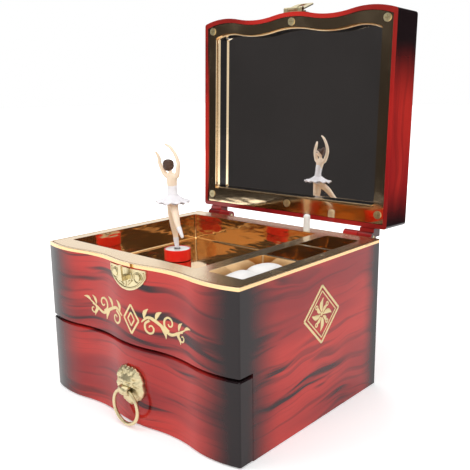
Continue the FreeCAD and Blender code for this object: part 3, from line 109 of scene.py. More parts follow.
class BoxColours(bpy.types.PropertyGroup):
    """Colours of the box's finishes."""
    grain_red: colour("Grain red", "Bright red of the printed grain", (0.50, 0.028, 0.020))
    grain_deep: colour("Grain deep red", "Deeper red of the printed grain", (0.27, 0.011, 0.012))
    grain_streak: colour("Grain streak", "Dark flames and lines of the grain", (0.022, 0.006, 0.008))
    corner_black: colour("Corner black", "Shading at the upright edges", (0.010, 0.005, 0.006))
    gold: colour("Gold plating", "Bright plating of the tray and mirror frame", (0.86, 0.66, 0.42))
    # Painted reflection: a deeper orange gold below the tray's rim, for light reflected round its gold bays
    gold_deep: colour("Deep gold", "Plating of the tray below its rim", (0.88, 0.58, 0.30))
    brass: colour("Brass", "Pale brass of the catch, hasp, mask and ring", (0.74, 0.64, 0.39))
    # Painted shade in the hollows of the brass, and random stains
    brass_shade: colour("Brass hollows", "Tarnish in the hollows of the brass", (0.30, 0.22, 0.09))
    ornament: colour("Ornament gold", "Matt gold of the raised ornaments", (0.80, 0.64, 0.33))
    mirror: colour("Mirror", "Silvering of the mirror", (0.92, 0.92, 0.92))
    pedestal: colour("Pedestal red", "Glossy red of the pedestal cup", (0.86, 0.018, 0.014))
    white: colour("White plastic", "White plastic of the disc and the stop plunger", (0.84, 0.83, 0.80))
    cushion: colour("Cushion", "Napped white cloth of the ring cushion", (0.84, 0.82, 0.80))
    skin: colour("Skin", "Painted skin of the figure", (0.98, 0.80, 0.62))
    hair: colour("Hair", "Painted hair of the figure", (0.085, 0.042, 0.028))
    bodice: colour("Bodice", "White bodice and shoes of the figure", (0.90, 0.88, 0.90))
    lips: colour("Lips", "Painted lips of the figure", (0.55, 0.10, 0.10))
    net: colour("Net", "Stiff net of the skirt", (0.88, 0.85, 0.88))
    felt: colour("Felt", "Lining of the drawer", (0.30, 0.016, 0.024))
    black: colour("Black plastic", "Base, shelf and drawer box", (0.022, 0.020, 0.020))
    steel: colour("Steel", "Screws, springs, comb and key", (0.56, 0.56, 0.58))
    zinc: colour("Zinc", "Bed of the musical movement", (0.42, 0.42, 0.41))
    wheel_brass: colour("Wheel brass", "Barrel, cylinder and wheels", (0.70, 0.48, 0.18))
    nylon: colour("Nylon", "Governor fly and crown wheel", (0.74, 0.72, 0.64))
    floor: colour("Floor", "Plain pale floor", (0.97, 0.97, 0.97))


class BoxSizes(bpy.types.PropertyGroup):
    """Sizes of the pieces that are added to the frame."""
    figure_height: length("Figure height", "Height of the figure above its spring", 72.6 * MM)
    figure_turn: angle("Figure turn", "Turn of the figure about its own axis", 41.5)
    head_radius: length("Head radius", "Radius of the figure's head", 3.6 * MM)
    bun_radius: length("Bun radius", "Radius of the figure's bun", 1.9 * MM)
    skirt_radius: length("Skirt radius", "Radius of the figure's skirt", 12.1 * MM)
    skirt_height: length("Skirt height", "Height of the skirt's edge above the spring", 32.6 * MM)
    skirt_rise: length("Skirt rise", "Height of the waist above the skirt's edge", 4.3 * MM)
    skirt_waves: IntProperty(name="Skirt waves", description="Waves round the skirt's edge", default=11,
                             min=3)
    corner_fade: length("Corner fade", "Width of the dark shading at the front edges", 38 * MM)
    rear_fade: length("Rear fade", "Width of the dark shading at the rear edges", 20 * MM)
    corner_black: length("Corner black", "Width of the black at the front edges", 5 * MM)
    lid_black: length("Lid black", "Width of the black at the lid's front edges", 18 * MM)
    lid_fade: length("Lid fade", "Width of the dark shading at the lid's front edges", 66 * MM)
    lid_rear: length("Lid rear fade", "Width of the dark shading at the lid's rear edges", 34 * MM)
    top_fade: length("Top fade", "Width of the dark shading round the lid's top", 30 * MM)
    pad_height: length("Pad height", "Height of the cushion between its rolls", 7 * MM)
    lip_thickness: length("Lip thickness", "Thickness of the cushion's front lip", 4.0 * MM)
    roll_sag: length("Roll sag", "Fall of a roll towards its ends", 4.5 * MM)
    plated_depth: length("Plated depth", "How far the gold runs into the mirror's recess", 2.6 * MM)
    bead_radius: length("Bead radius", "Radius of the bead round the mirror", 0.5 * MM)
    inlay_height: length("Ornament height", "How far the ornaments stand proud", 0.25 * MM)
    emboss_height: length("Emboss height", "How far the catch's pressed relief stands proud", 0.45 * MM)


class StudioSettings(bpy.types.PropertyGroup):
    """Camera, lamps and backdrop."""
    camera_place: FloatVectorProperty(name="Camera place", description="Where the camera stands", size=3,
                                      default=(0.29625, -0.31335, 0.20122), subtype="TRANSLATION")
    yaw: angle("Camera yaw", "Turn of the camera to the left of straight ahead", 41.54)
    pitch: angle("Camera pitch", "Tilt of the camera above level", -12.53)
    roll: angle("Camera roll", "Roll of the camera", -0.62)
    lens: FloatProperty(name="Lens", description="Focal length on a 36 mm sensor", default=51.04,
                        unit="CAMERA")
    ambient: share("Ambient", "Level of the white surround as light", 0.50)
    deep_look: share("Deep look", "Level of the surround after a third reflection", 0.62)
    near_fill: share("Near fill", "Brightness added to the floor close to the box", 0.22)
    far_fill: share("Far fill", "Brightness added to the floor far from the box", 0.85)
    lamp_level: share("Lamp level", "Level that a lamp of share one adds on white", 0.27)
    lamp_size: length("Lamp size", "Width of each softbox", 1.1)
    flag: colour("Dark cards", "Colour of the cards that only reflections see", (0.026, 0.0235, 0.0225))


class JewelleryBox(bpy.types.PropertyGroup):
    """All settings of the box."""
    colours: PointerProperty(type=BoxColours)
    sizes: PointerProperty(type=BoxSizes)
    studio: PointerProperty(type=StudioSettings)


def settings():
    return bpy.context.scene.jewellery_box


def rgba(name, level=1.0):
    return tuple(c * level for c in getattr(settings().colours, name)) + (1.0,)


# Shader building

class Graph:
    """Adds and joins the nodes of one shader tree."""

    def __init__(self, tree):
        self.tree = tree

    def feed(self, value, socket):
        if isinstance(value, bpy.types.NodeSocket):
            self.tree.links.new(value, socket)
        else:
            socket.default_value = value

    def add(self, kind, feeds=None, **options):
        node = self.tree.nodes.new("ShaderNode" + kind)
        for name, value in options.items():
            setattr(node, name, value)
        for name, value in (feeds or {}).items():
            self.feed(value, node.inputs[name])
        return node

    def math(self, operation, *values):
        return self.add("Math", dict(enumerate(values)), operation=operation).outputs[0]

    def plus(self, a, b):
        return self.math("ADD", a, b)

    def minus(self, a, b):
        return self.math("SUBTRACT", a, b)

    def times(self, a, b):
        return self.math("MULTIPLY", a, b)

    def most(self, a, b):
        return self.math("MAXIMUM", a, b)

    def mix(self, factor, a, b):
        return self.add("Mix", {0: factor, 6: a, 7: b}, data_type="RGBA").outputs[2]

    def ease(self, value, low, high, start=0.0, end=1.0):
        feeds = {"Value": value, "From Min": low, "From Max": high, "To Min": start, "To Max": end}
        return self.add("MapRange", feeds, interpolation_type="SMOOTHSTEP").outputs[0]

    def noise(self, vector, scale=1.0, detail=2.0, roughness=0.5, distortion=0.0):
        feeds = {"Vector": vector, "Scale": scale, "Detail": detail, "Roughness": roughness,
                 "Distortion": distortion}
        return self.add("TexNoise", feeds).outputs[0]

    def scaled(self, vector, factors):
        return self.add("VectorMath", {0: vector, 1: factors}, operation="MULTIPLY").outputs[0]

    def split(self, vector):
        return self.add("SeparateXYZ", {0: vector}).outputs

    def joined(self, x, y, z):
        return self.add("CombineXYZ", {0: x, 1: y, 2: z}).outputs[0]

    def place(self):
        return self.add("TexCoord").outputs["Object"]

    def group(self, tree, feeds):
        return self.add("Group", feeds, node_tree=tree).outputs

    def bump(self, height, strength, distance):
        return self.add("Bump", {"Height": height, "Strength": strength, "Distance": distance}).outputs[0]


def shared_group(name, inputs, outputs):
    """A new node group with its graph and its two ends; a default value tells the kind of its socket."""
    tree = bpy.data.node_groups.new(name, "ShaderNodeTree")
    for label, default in inputs.items():
        kind = "Float"
        if isinstance(default, tuple):
            kind = "Vector" if len(default) == 3 else "Color"
        socket = tree.interface.new_socket(name=label, in_out="INPUT", socket_type="NodeSocket" + kind)
        socket.default_value = default
    for label in outputs:
        kind = "Color" if label == "Color" else "Float"
        tree.interface.new_socket(name=label, in_out="OUTPUT", socket_type="NodeSocket" + kind)
    start = tree.nodes.new("NodeGroupInput").outputs
    end = tree.nodes.new("NodeGroupOutput").inputs
    return tree, Graph(tree), start, end


def once(builder):
    """The group that a builder makes, made the first time it is asked for."""
    def group():
        found = bpy.data.node_groups.get(builder.__name__)
        return found or builder(builder.__name__)
    return group


@once
def mahogany_grain(name):
    """Printed grain along the level directions: broad dark flames, thin dark lines and two reds."""
    tree, g, start, end = shared_group(name, {
        "Vector": ORIGIN, "Red": (0.5, 0, 0, 1), "Deep": (0.2, 0, 0, 1), "Streak": BLACK,
        "Wander": 0.027, "Flames": 1.0}, ["Color"])
    slow = g.noise(start["Vector"], 12.0, 2.0)
    x, y, z = g.split(start["Vector"])
    level = g.plus(z, g.times(g.minus(slow, 0.5), start["Wander"]))
    along = g.joined(x, y, level)
    flames = g.noise(g.scaled(along, (9, 9, 150)), 1.0, 2.5, 0.5, 0.5)
    lines = g.noise(g.scaled(along, (7, 7, 300)), 1.0, 2.0, 0.5, 0.4)
    tone = g.noise(g.scaled(along, (8, 8, 50)), 1.0, 1.5)
    fibre = g.noise(g.scaled(along, (30, 30, 1300)), 1.0, 2.0)
    patch = g.ease(g.noise(start["Vector"], 17.0, 1.0), 0.36, 0.58, 0.40, 1.0)
    flame_mask = g.times(g.ease(flames, 0.33, 0.46, 1.0, 0.0), patch)
    line_mask = g.ease(lines, 0.30, 0.44, 0.42, 0.0)
    red = g.mix(g.ease(tone, 0.32, 0.62), start["Deep"], start["Red"])
    red = g.mix(g.ease(fibre, 0.3, 0.7, 0.0, 0.16), red, start["Deep"])
    dark = g.times(g.most(flame_mask, line_mask), start["Flames"])
    g.feed(g.mix(g.minus(1.0, dark), start["Streak"], red), end["Color"])
    return tree


@once
def corner_shade(name):
    """One near the upright corners of a box outline, nothing past the fade."""
    tree, g, start, end = shared_group(name, {
        "Vector": ORIGIN, "Half Width": 0.08, "Front": -0.07, "Rear": 0.07, "Front Black": 0.005,
        "Front Fade": 0.03, "Rear Fade": 0.02}, ["Mask"])
    x, y, z = g.split(start["Vector"])
    side = g.minus(start["Half Width"], g.math("ABSOLUTE", x))
    front = g.most(side, g.minus(y, start["Front"]))
    rear = g.most(side, g.minus(start["Rear"], y))
    torn = g.noise(g.scaled(start["Vector"], (20, 20, 55)), 1.0, 2.0)
    ragged = g.times(g.minus(torn, 0.5), 0.010)
    near = g.ease(g.plus(front, ragged), start["Front Black"], start["Front Fade"], 1.0, 0.0)
    far = g.ease(g.plus(rear, ragged), 0.002, start["Rear Fade"], 1.0, 0.0)
    g.feed(g.most(near, far), end["Mask"])
    return tree


@once
def handling_marks(name):
    """Roughness that rises in faint smudges and hairline scratches, and a slow ripple for the bump."""
    tree, g, start, end = shared_group(name, {
        "Vector": ORIGIN, "Clean": 0.06, "Smudged": 0.16, "Ripple": 70.0}, ["Roughness", "Height"])
    smudge = g.ease(g.noise(start["Vector"], 38.0, 4.0, 0.6), 0.46, 0.74)
    scratch = g.ease(g.noise(g.scaled(start["Vector"], (900, 60, 240)), 1.0, 2.0), 0.66, 0.78, 0.0, 0.5)
    worn = g.most(smudge, scratch)
    span = g.minus(start["Smudged"], start["Clean"])
    g.feed(g.plus(start["Clean"], g.times(worn, span)), end["Roughness"])
    g.feed(g.noise(g.scaled(start["Vector"], (1, 1, 3.5)), start["Ripple"], 1.0), end["Height"])
    return tree


@once
def cloth_nap(name):
    """Soft nap over a fine weave: a shade for the colour and a height for the bump."""
    tree, g, start, end = shared_group(name, {
        "Vector": ORIGIN, "Thread": 1500.0, "Depth": 0.16}, ["Shade", "Height"])
    nap = g.noise(start["Vector"], start["Thread"], 3.0, 0.7)
    x, y, z = g.split(start["Vector"])
    pitch = g.times(start["Thread"], 4.2)
    warp = g.math("SINE", g.times(g.plus(x, z), pitch))
    weft = g.math("SINE", g.times(g.minus(y, z), pitch))
    weave = g.times(warp, weft)
    height = g.plus(nap, g.times(weave, 0.15))
    pile = g.noise(start["Vector"], 160.0, 3.0, 0.6)
    g.feed(g.ease(pile, 0.3, 0.7, g.minus(1.0, start["Depth"]), 1.0), end["Shade"])
    g.feed(height, end["Height"])
    return tree


@once
def moulded_skin(name):
    """Fine texture of a moulded or painted surface, with a little uneven tone."""
    tree, g, start, end = shared_group(name, {
        "Vector": ORIGIN, "Color": (0.5, 0.5, 0.5, 1), "Grain": 1800.0, "Roughness": 0.4},
        ["Color", "Roughness", "Height"])
    blotch = g.noise(start["Vector"], 120.0, 3.0, 0.6)
    grain = g.noise(start["Vector"], start["Grain"], 2.0)
    shade = g.ease(blotch, 0.25, 0.75, 0.88, 1.0)
    g.feed(g.scaled(start["Color"], g.joined(shade, shade, shade)), end["Color"])
    g.feed(g.times(start["Roughness"], g.ease(blotch, 0.2, 0.8, 0.85, 1.15)), end["Roughness"])
    g.feed(grain, end["Height"])
    return tree


def new_material(name, **sockets):
    """A material with its graph and its shader; the constants go straight onto the shader's sockets."""
    material = bpy.data.materials.new(name)
    material.use_nodes = True
    shader = material.node_tree.nodes["Principled BSDF"]
    for socket, value in sockets.items():
        shader.inputs[socket.replace("_", " ")].default_value = value
    return material, Graph(material.node_tree), shader.inputs


def feed_shader(g, shader, base, roughness=None, bump=None):
    """Feeds a shader's colour, and its roughness and bump where they vary."""
    g.feed(base, shader["Base Color"])
    if roughness is not None:
        g.feed(roughness, shader["Roughness"])
    if bump:
        g.feed(g.bump(*bump), shader["Normal"])


def closed_lid(g, source="Object"):
    """The lid's places, or its normals, as they are when the lid is closed."""
    feeds = {"Vector": g.add("TexCoord").outputs[source], "Rotation": (LID_OPEN, 0, 0)}
    if source == "Object":
        hinge = Vector(JOINTS["lid_hinge"]["pos_m"])
        feeds["Location"] = hinge - Matrix.Rotation(LID_OPEN, 3, "X") @ hinge
    return g.add("Mapping", feeds).outputs[0]


def grain_material(name, on_lid):
    """Glossy red grain with dark upright edges."""
    material, g, shader = new_material(name, IOR=1.48, Specular_IOR_Level=0.38)
    sizes = settings().sizes
    edge = {"Half Width": CASE_HIGH[0], "Front": CASE_LOW[1] + CORNER_SETBACK,
            "Rear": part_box("tray_insert")[1][1]}
    if on_lid:
        place = closed_lid(g)
        fades = (sizes.lid_black, sizes.lid_fade, sizes.lid_rear)
    else:
        place = g.place()
        fades = (sizes.corner_black, sizes.corner_fade, sizes.rear_fade)
    edge.update(zip(("Front Black", "Front Fade", "Rear Fade"), fades))
    shade = g.group(corner_shade(), {"Vector": place, **edge})[0]
    if on_lid:
        upward = g.split(closed_lid(g, "Normal"))[2]
        top = g.ease(upward, 0.5, 0.8)
        shade = g.times(shade, g.ease(upward, -0.8, -0.5, 0.45, 1.0))
        x, y, z = g.split(place)
        place = g.joined(x, g.times(y, g.minus(1.0, top)), g.plus(z, g.times(y, top)))
        inset = g.math("MINIMUM", g.minus(edge["Half Width"], g.math("ABSOLUTE", x)),
                       g.minus(edge["Rear"], g.math("ABSOLUTE", y)))
        rim = g.ease(inset, 0.002, sizes.top_fade, 1.0, 0.0)
        shade = g.most(shade, g.times(rim, top))
    grain = g.group(mahogany_grain(), {"Vector": place, "Red": rgba("grain_red"), "Deep": rgba("grain_deep"),
                                       "Streak": rgba("grain_streak"), "Flames": 0.5 if on_lid else 1.0})
    marks = g.group(handling_marks(), {"Vector": place, "Clean": 0.05, "Smudged": 0.11, "Ripple": 55.0})
    base = g.mix(shade, grain["Color"], rgba("corner_black"))
    feed_shader(g, shader, base, marks["Roughness"], (marks["Height"], 0.015, 2 * MM))
    return material


def plating_material(name, tint, clean, smudged, ripple, plated_depth=None, satin_level=None):
    """Bright plating or polished metal with handling marks and a slow ripple.

    Past a plated depth the wall is black. Above a satin level the gold is satin; below it the gold is a
    deeper orange, a painted reflection of light passed round between the gold walls.
    """
    material, g, shader = new_material(name, Metallic=1.0)
    place = g.place()
    marks = g.group(handling_marks(), {"Vector": place, "Clean": clean, "Smudged": smudged, "Ripple": 60.0})
    tone = g.ease(g.noise(place, 25.0, 2.0), 0.3, 0.7, 0.0, 0.12)
    shade = g.mix(tone, rgba(tint), rgba(tint, 0.8))
    if plated_depth:
        depth = g.split(closed_lid(g))[2]
        shade = g.mix(g.ease(depth, plated_depth, plated_depth + 0.4 * MM), shade, rgba("black"))
    roughness, height = marks["Roughness"], marks["Height"]
    if satin_level:
        shader["Metallic"].default_value = 0.98
        satin = g.ease(g.split(place)[2], satin_level - 0.4 * MM, satin_level)
        # Painted reflection: below the rim the gold turns a deeper orange
        shade = g.mix(satin, rgba("gold_deep"), shade)
        roughness = g.plus(roughness, g.times(satin, 0.16))
        height = g.times(height, g.minus(1.0, satin))
    feed_shader(g, shader, shade, roughness, ripple and (height, ripple, 2 * MM))
    return material


def brass_material(name, cast):
    """Pale brass, darker in its hollows as painted shade and with random stains; cast gives the depth of its
    fine casting marks.
    """
    material, g, shader = new_material(name, Metallic=1.0)
    place = g.place()
    # Painted shade: the brass turns darker in its hollows, where shade falls
    hollow = g.ease(g.add("NewGeometry").outputs["Pointiness"], 0.40, 0.50, 0.7, 0.0)
    stain = g.ease(g.noise(place, 210.0, 3.0, 0.6), 0.5, 0.75, 0.0, 0.25)
    base = g.mix(g.most(hollow, stain), rgba("brass"), rgba("brass_shade"))
    marks = g.group(handling_marks(), {"Vector": place, "Clean": 0.34, "Smudged": 0.46, "Ripple": 1100.0})
    feed_shader(g, shader, base, marks["Roughness"], (marks["Height"], cast, 0.3 * MM))
    return material


def moulded_material(name, tint, roughness, relief=0.05, **sockets):
    """Moulded or painted plastic with a fine uneven surface."""
    material, g, shader = new_material(name, **sockets)
    skin = g.group(moulded_skin(), {"Vector": g.place(), "Color": rgba(tint), "Roughness": roughness})
    feed_shader(g, shader, skin["Color"], skin["Roughness"], (skin["Height"], relief, 0.3 * MM))
    return material


def cloth_material(name, tint, thread, relief, **sockets):
    """Napped or woven cloth."""
    material, g, shader = new_material(name, Roughness=0.9, **sockets)
    nap = g.group(cloth_nap(), {"Vector": g.place(), "Thread": thread})
    base = g.mix(nap["Shade"], rgba(tint, 0.55), rgba(tint))
    feed_shader(g, shader, base, bump=(nap["Height"], relief, 0.5 * MM))
    return material


def dress(material, *nodes):
    """Gives a finish to nodes of the frame."""
    for name in nodes:
        node = frame["nodes"][name]
        for part in [node] + list(node.children):
            for holder in part.material_slots:
                holder.material = material


# Mesh building

def linked(name, data):
    """A new object in the scene."""
    piece = bpy.data.objects.new(name, data)
    bpy.context.scene.collection.objects.link(piece)
    return piece


class Shapes:
    """Points and faces of one mesh, gathered shape by shape, each shape with its finish."""

    def __init__(self):
        self.points = []
        self.faces = []
        self.finishes = []

    def add(self, points, faces, finish=0):
        first = len(self.points)
        self.points += [Vector(p) for p in points]
        self.faces += [tuple(first + i for i in face) for face in faces]
        self.finishes += [finish] * len(faces)

    def object(self, name, *materials):
        mesh = bpy.data.meshes.new(name)
        mesh.from_pydata(self.points, [], self.faces)
        for material in materials:
            mesh.materials.append(material)
        mesh.polygons.foreach_set("material_index", self.finishes)
        mesh.shade_smooth()
        return linked(name, mesh)


CAP_ANGLES = (0.0, 0.25, 0.6, 1.0, 1.4)


def circle(count):
    """Cosines and sines at even steps once round."""
    return [(cos(tau * i / count), sin(tau * i / count)) for i in range(count)]


def swell(u, v, forms):
    """Soft bumps and hollows, the same on both sides: height, place across, width, place up, tallness."""
    return sum(height * exp(-(((abs(u) - across) / wide) ** 2) - ((v - up) / tall) ** 2)
               for height, across, wide, up, tall in forms)


def lobe(a, bearing, width):
    """One at a bearing, falling away over a width in degrees."""
    return exp(-(((degrees(a) - bearing) / width) ** 2))


def skinned(rings, closed=True):
    """Points and faces of a skin over rings of points; its two ends may be closed."""
    count = len(rings[0])
    points = [p for ring in rings for p in ring]
    faces = []
    for k in range(len(rings) - 1):
        for i in range(count):
            j = (i + 1) % count
            faces.append((k * count + i, k * count + j, (k + 1) * count + j, (k + 1) * count + i))
    if closed:
        faces.append(tuple(reversed(range(count))))
        faces.append(tuple(range((len(rings) - 1) * count, len(rings) * count)))
    return points, faces


def flowing(points, steps):
    """A smooth run of values through the given ones, which may have any number of parts."""
    rows = [points[0]] + list(points) + [points[-1]]
    run = []
    for a, b, c, d in zip(rows, rows[1:], rows[2:], rows[3:]):
        for k in range(steps):
            t = k / steps
            run.append(tuple(
                q + 0.5 * t * (r - p + t * (2 * p - 5 * q + 4 * r - s + t * (3 * q - p - 3 * r + s)))
                for p, q, r, s in zip(a, b, c, d)))
    return run + [tuple(points[-1])]


def tube(points, sides=18, steps=6, grow=0.0):
    """A round limb through points of x, y, z and radius, with domed ends."""
    run = flowing(points, steps)
    centres = [Vector(p[:3]) for p in run]
    radii = [p[3] + grow for p in run]
    rings = []
    across = Vector((1, 0, 0))
    last = len(run) - 1
    for k, centre in enumerate(centres):
        ahead = (centres[min(k + 1, last)] - centres[max(k - 1, 0)]).normalized()
        across = (across - ahead * across.dot(ahead)).normalized()
        over = ahead.cross(across)
        places = [(0.0, 1.0)]
        if k == 0:
            places = [(-sin(a), cos(a)) for a in reversed(CAP_ANGLES)]
        if k == last:
            places = [(sin(a), cos(a)) for a in CAP_ANGLES]
        for out, wide in places:
            middle = centre + ahead * out * radii[k]
            rings.append([middle + (across * c + over * s) * radii[k] * wide for c, s in circle(sides)])
    return skinned(rings)


def melted(piece, name, voxel, rounds):
    """A new object that is the piece as one closed skin, remeshed and smoothed; the piece itself goes."""
    remesh = piece.modifiers.new("melt", "REMESH")
    remesh.mode = "VOXEL"
    remesh.voxel_size = voxel
    remesh.use_smooth_shade = True
    ease = piece.modifiers.new("ease", "SMOOTH")
    ease.iterations = rounds
    graph = bpy.context.evaluated_depsgraph_get()
    made = linked(name, bpy.data.meshes.new_from_object(piece.evaluated_get(graph)))
    bpy.data.objects.remove(piece)
    return made


def corners_of(node):
    """The low and the high corner of a node's box."""
    return [Vector(corner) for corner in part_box(node)]


def surface_of(node):
    """A search tree over a node of the frame, for laying pieces on it."""
    mesh = frame["nodes"][node].data
    points = [v.co.copy() for v in mesh.vertices]
    return BVHTree.FromPolygons(points, [tuple(face.vertices) for face in mesh.polygons])


def laid(surface, start, direction):
    """Where a straight line first meets a surface, with the outward normal there."""
    spot, normal = surface.ray_cast(Vector(start), Vector(direction))[:2]
    if spot is None:
        raise RuntimeError("an ornament misses the surface that carries it")
    if normal.dot(Vector(direction)) > 0:
        normal = -normal
    return spot, normal


def front_of(node):
    """A function that lays a place, u across and v up in millimetres, on a node's front."""
    surface = surface_of(node)
    return lambda u, v: laid(surface, (u * MM, -OUTSIDE, v * MM), (0, 1, 0))


# Raised ornaments

INLAY_SECTION = ((-0.5, -0.4), (-0.5, 0.35), (-0.28, 0.9), (0, 1), (0.28, 0.9), (0.5, 0.35), (0.5, -0.4))


def inlay(shapes, stroke, place, height):
    """A tapering raised line through points of u, v and width in millimetres, laid on a surface."""
    run = flowing(stroke, 8)
    last = len(run) - 1
    rings = []
    for k, (u, v, width) in enumerate(run):
        before = run[max(k - 1, 0)]
        after = run[min(k + 1, last)]
        du, dv = after[0] - before[0], after[1] - before[1]
        size = hypot(du, dv) or 1.0
        side = (-dv / size, du / size)
        ring = []
        for across, up in INLAY_SECTION:
            spot, normal = place(u + side[0] * across * width, v + side[1] * across * width)
            ring.append(spot + normal * up * height)
        rings.append(ring)
    shapes.add(*skinned(rings))


def curl(u, v, radius, turn, start, sweep, width):
    """A spiral that winds in to its eye; angles in degrees."""
    count = 9
    stroke = []
    for k in range(count):
        t = k / (count - 1)
        a = radians(start + sweep * t) * turn
        r = radius * (1 - 0.8 * t)
        stroke.append((u + r * cos(a), v + r * sin(a), width * (1 - 0.45 * t)))
    return stroke


def leaf(u, v, heading, size, width):
    """A bent leaf that swells and runs out to a point."""
    a = radians(heading)
    bend = 0.16 * size
    stroke = []
    for t, w in ((0, 0.25), (0.3, 0.9), (0.55, 1.0), (0.8, 0.55), (1.0, 0.12)):
        off = bend * sin(pi * t)
        stroke.append((u + size * t * cos(a) - off * sin(a), v + size * t * sin(a) + off * cos(a), width * w))
    return stroke


def outline(points, width):
    """A closed line through points."""
    return [(u, v, width) for u, v in list(points) + [points[0]]]


def lozenge(u, v, half_u, half_v, width):
    """Four straight sides, each its own stroke."""
    corners = [(u, v + half_v), (u + half_u, v), (u, v - half_v), (u - half_u, v)]
    return [[(*a, width), ((a[0] + b[0]) / 2, (a[1] + b[1]) / 2, width), (*b, width)]
            for a, b in zip(corners, corners[1:] + corners[:1])]


class JEWELBOX_OT_grain(bpy.types.Operator):
    """Gives the case, drawer front and lid their glossy red grain"""
    bl_idname = "jewelbox.grain"
    bl_label = "Case and lid grain"

    def execute(self, context):
        dress(grain_material("Red grain", False), "case_shell", "drawer_front")
        dress(grain_material("Red grain of the lid", True), "lid_shell")
        return {"FINISHED"}


class JEWELBOX_OT_plating(bpy.types.Operator):
    """Gives the tray and mirror frame their gold plating, and the mirror its silvering"""
    bl_idname = "jewelbox.plating"
    bl_label = "Tray, frame and mirror"

    def execute(self, context):
        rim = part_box("tray_insert")[1][2]
        dress(plating_material("Gold plating", "gold", 0.06, 0.14, 0.10, satin_level=rim), "tray_insert")
        depth = CASE_HIGH[2] + settings().sizes.plated_depth
        dress(plating_material("Gold plating of the frame", "gold", 0.06, 0.12, 0.02, depth), "mirror_frame")
        dress(plating_material("Silvered glass", "mirror", 0.012, 0.035, 0), "mirror")
        return {"FINISHED"}


class JEWELBOX_OT_frame_bead(bpy.types.Operator):
    """Makes the bright bead that runs round the mirror's opening"""
    bl_idname = "jewelbox.frame_bead"
    bl_label = "Mirror bead"

    def execute(self, context):
        radius = settings().sizes.bead_radius
        low, high = corners_of("mirror")
        out = Matrix.Rotation(-LID_OPEN, 3, "X")
        facing, up = out @ Vector((0, 0, -1)), out @ Vector((0, -1, 0))
        inside, clear = 4 * MM, 50 * MM
        middle = (low + high) / 2 + facing * inside
        frame_face = surface_of("mirror_frame")
        run = []
        for c, s in circle(240):
            across = Vector((1, 0, 0)) * c + up * s
            wall = laid(frame_face, middle, across)[0]
            before_frame = wall + across * 1.5 * radius + facing * clear
            run.append((*laid(frame_face, before_frame, -facing)[0], radius))
        shapes = Shapes()
        shapes.add(*tube(run + run[:1], sides=10, steps=1))
        gold = plating_material("Gold plating of the bead", "gold", 0.10, 0.20, 0.02)
        bead = shapes.object("mirror_bead", gold)
        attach(bead, "lid")
        return {"FINISHED"}


class JEWELBOX_OT_hardware(bpy.types.Operator):
    """Gives the catch, hasp, hinges, ring pull and screws their brass"""
    bl_idname = "jewelbox.hardware"
    bl_label = "Brass hardware"

    def execute(self, context):
        dress(brass_material("Pressed brass", 0.10), "catch_plate", "catch_rivets", "hasp_plate",
              "hasp_rivets", "hasp_pin", "hasp_leaf", "hinge_pins", "ring_pull", "frame_screws")
        return {"FINISHED"}


class JEWELBOX_OT_pedestal(bpy.types.Operator):
    """Gives the pedestal, its disc and the stop plunger their glossy plastic"""
    bl_idname = "jewelbox.pedestal"
    bl_label = "Pedestal and plunger"

    def execute(self, context):
        gloss = {"Coat_Weight": 0.6, "Coat_Roughness": 0.05}
        dress(moulded_material("Glossy red plastic", "pedestal", 0.2, 0.03, **gloss), "pedestal_cup")
        dress(moulded_material("Glossy white plastic", "white", 0.25, 0.03, **gloss), "pedestal_disc",
              "stop_plunger")
        return {"FINISHED"}


class JEWELBOX_OT_works(bpy.types.Operator):
    """Gives the base, drawer box, musical movement and other inner pieces their finishes"""
    bl_idname = "jewelbox.works"
    bl_label = "Inner works"

    def execute(self, context):
        dress(moulded_material("Black plastic", "black", 0.45, 0.25), "base_plate", "movement_shelf",
              "drawer_tray")
        dress(cloth_material("Drawer felt", "felt", 1900.0, 0.8, Sheen_Weight=0.5), "drawer_lining")
        dress(plating_material("Plated steel", "steel", 0.22, 0.38, 0.04), "base_screws", "shelf_screws",
              "movement_screws", "comb_screws", "drawer_screws", "lion_screws", "tone_comb", "winding_arbor",
              "winding_key", "turntable_shaft", "mainspring", "lever_bracket", "stop_lever")
        dress(plating_material("Cast zinc", "zinc", 0.40, 0.55, 0.2), "movement_bed")
        dress(plating_material("Machined brass", "wheel_brass", 0.20, 0.34, 0.04), "spring_barrel",
              "pin_cylinder", "cylinder_arbor", "turntable_bush")
        dress(moulded_material("Nylon", "nylon", 0.5, 0.15), "governor_fly", "crown_wheel")
        return {"FINISHED"}


class JEWELBOX_OT_springs(bpy.types.Operator):
    """Makes the two coil springs"""
    bl_idname = "jewelbox.springs"
    bl_label = "Springs"

    def execute(self, context):
        pivot = JOINTS["figure_tilt"]["pos_m"][2]
        squeezed = [corner[2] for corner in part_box("plunger_spring")]
        bent = (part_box("pedestal_disc")[1][2], pivot - 0.4 * MM)
        for node, name, carried, turns, (start, end) in (
                ("plunger_spring", "plunger_coil", "plunger", 7, squeezed),
                ("figure_spring", "figure_coil", "figure_mount", 5, bent)):
            low, high = corners_of(node)
            middle = (low + high) / 2
            coil = self.wound(name, middle, low.z, high.z, high.x - middle.x, turns)
            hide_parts(node)
            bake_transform(coil)
        return {"FINISHED"}

    @staticmethod
    def wound(name, middle, low, high, radius, turns):
        """A coil of round wire between two levels, a hair short of both."""
        wire = 0.15 * radius
        low, high = low + 1.2 * wire, high - 1.2 * wire
        steps = 20 * turns
        run = []
        for k in range(steps + 1):
            a = tau * turns * k / steps
            x, y = (radius - wire) * cos(a), (radius - wire) * sin(a)
            run.append((middle.x + x, middle.y + y, low + (high - low) * k / steps, wire))
        shapes = Shapes()
        shapes.add(*tube(run, sides=8, steps=1))
        return shapes.object(name, bpy.data.materials["Plated steel"])


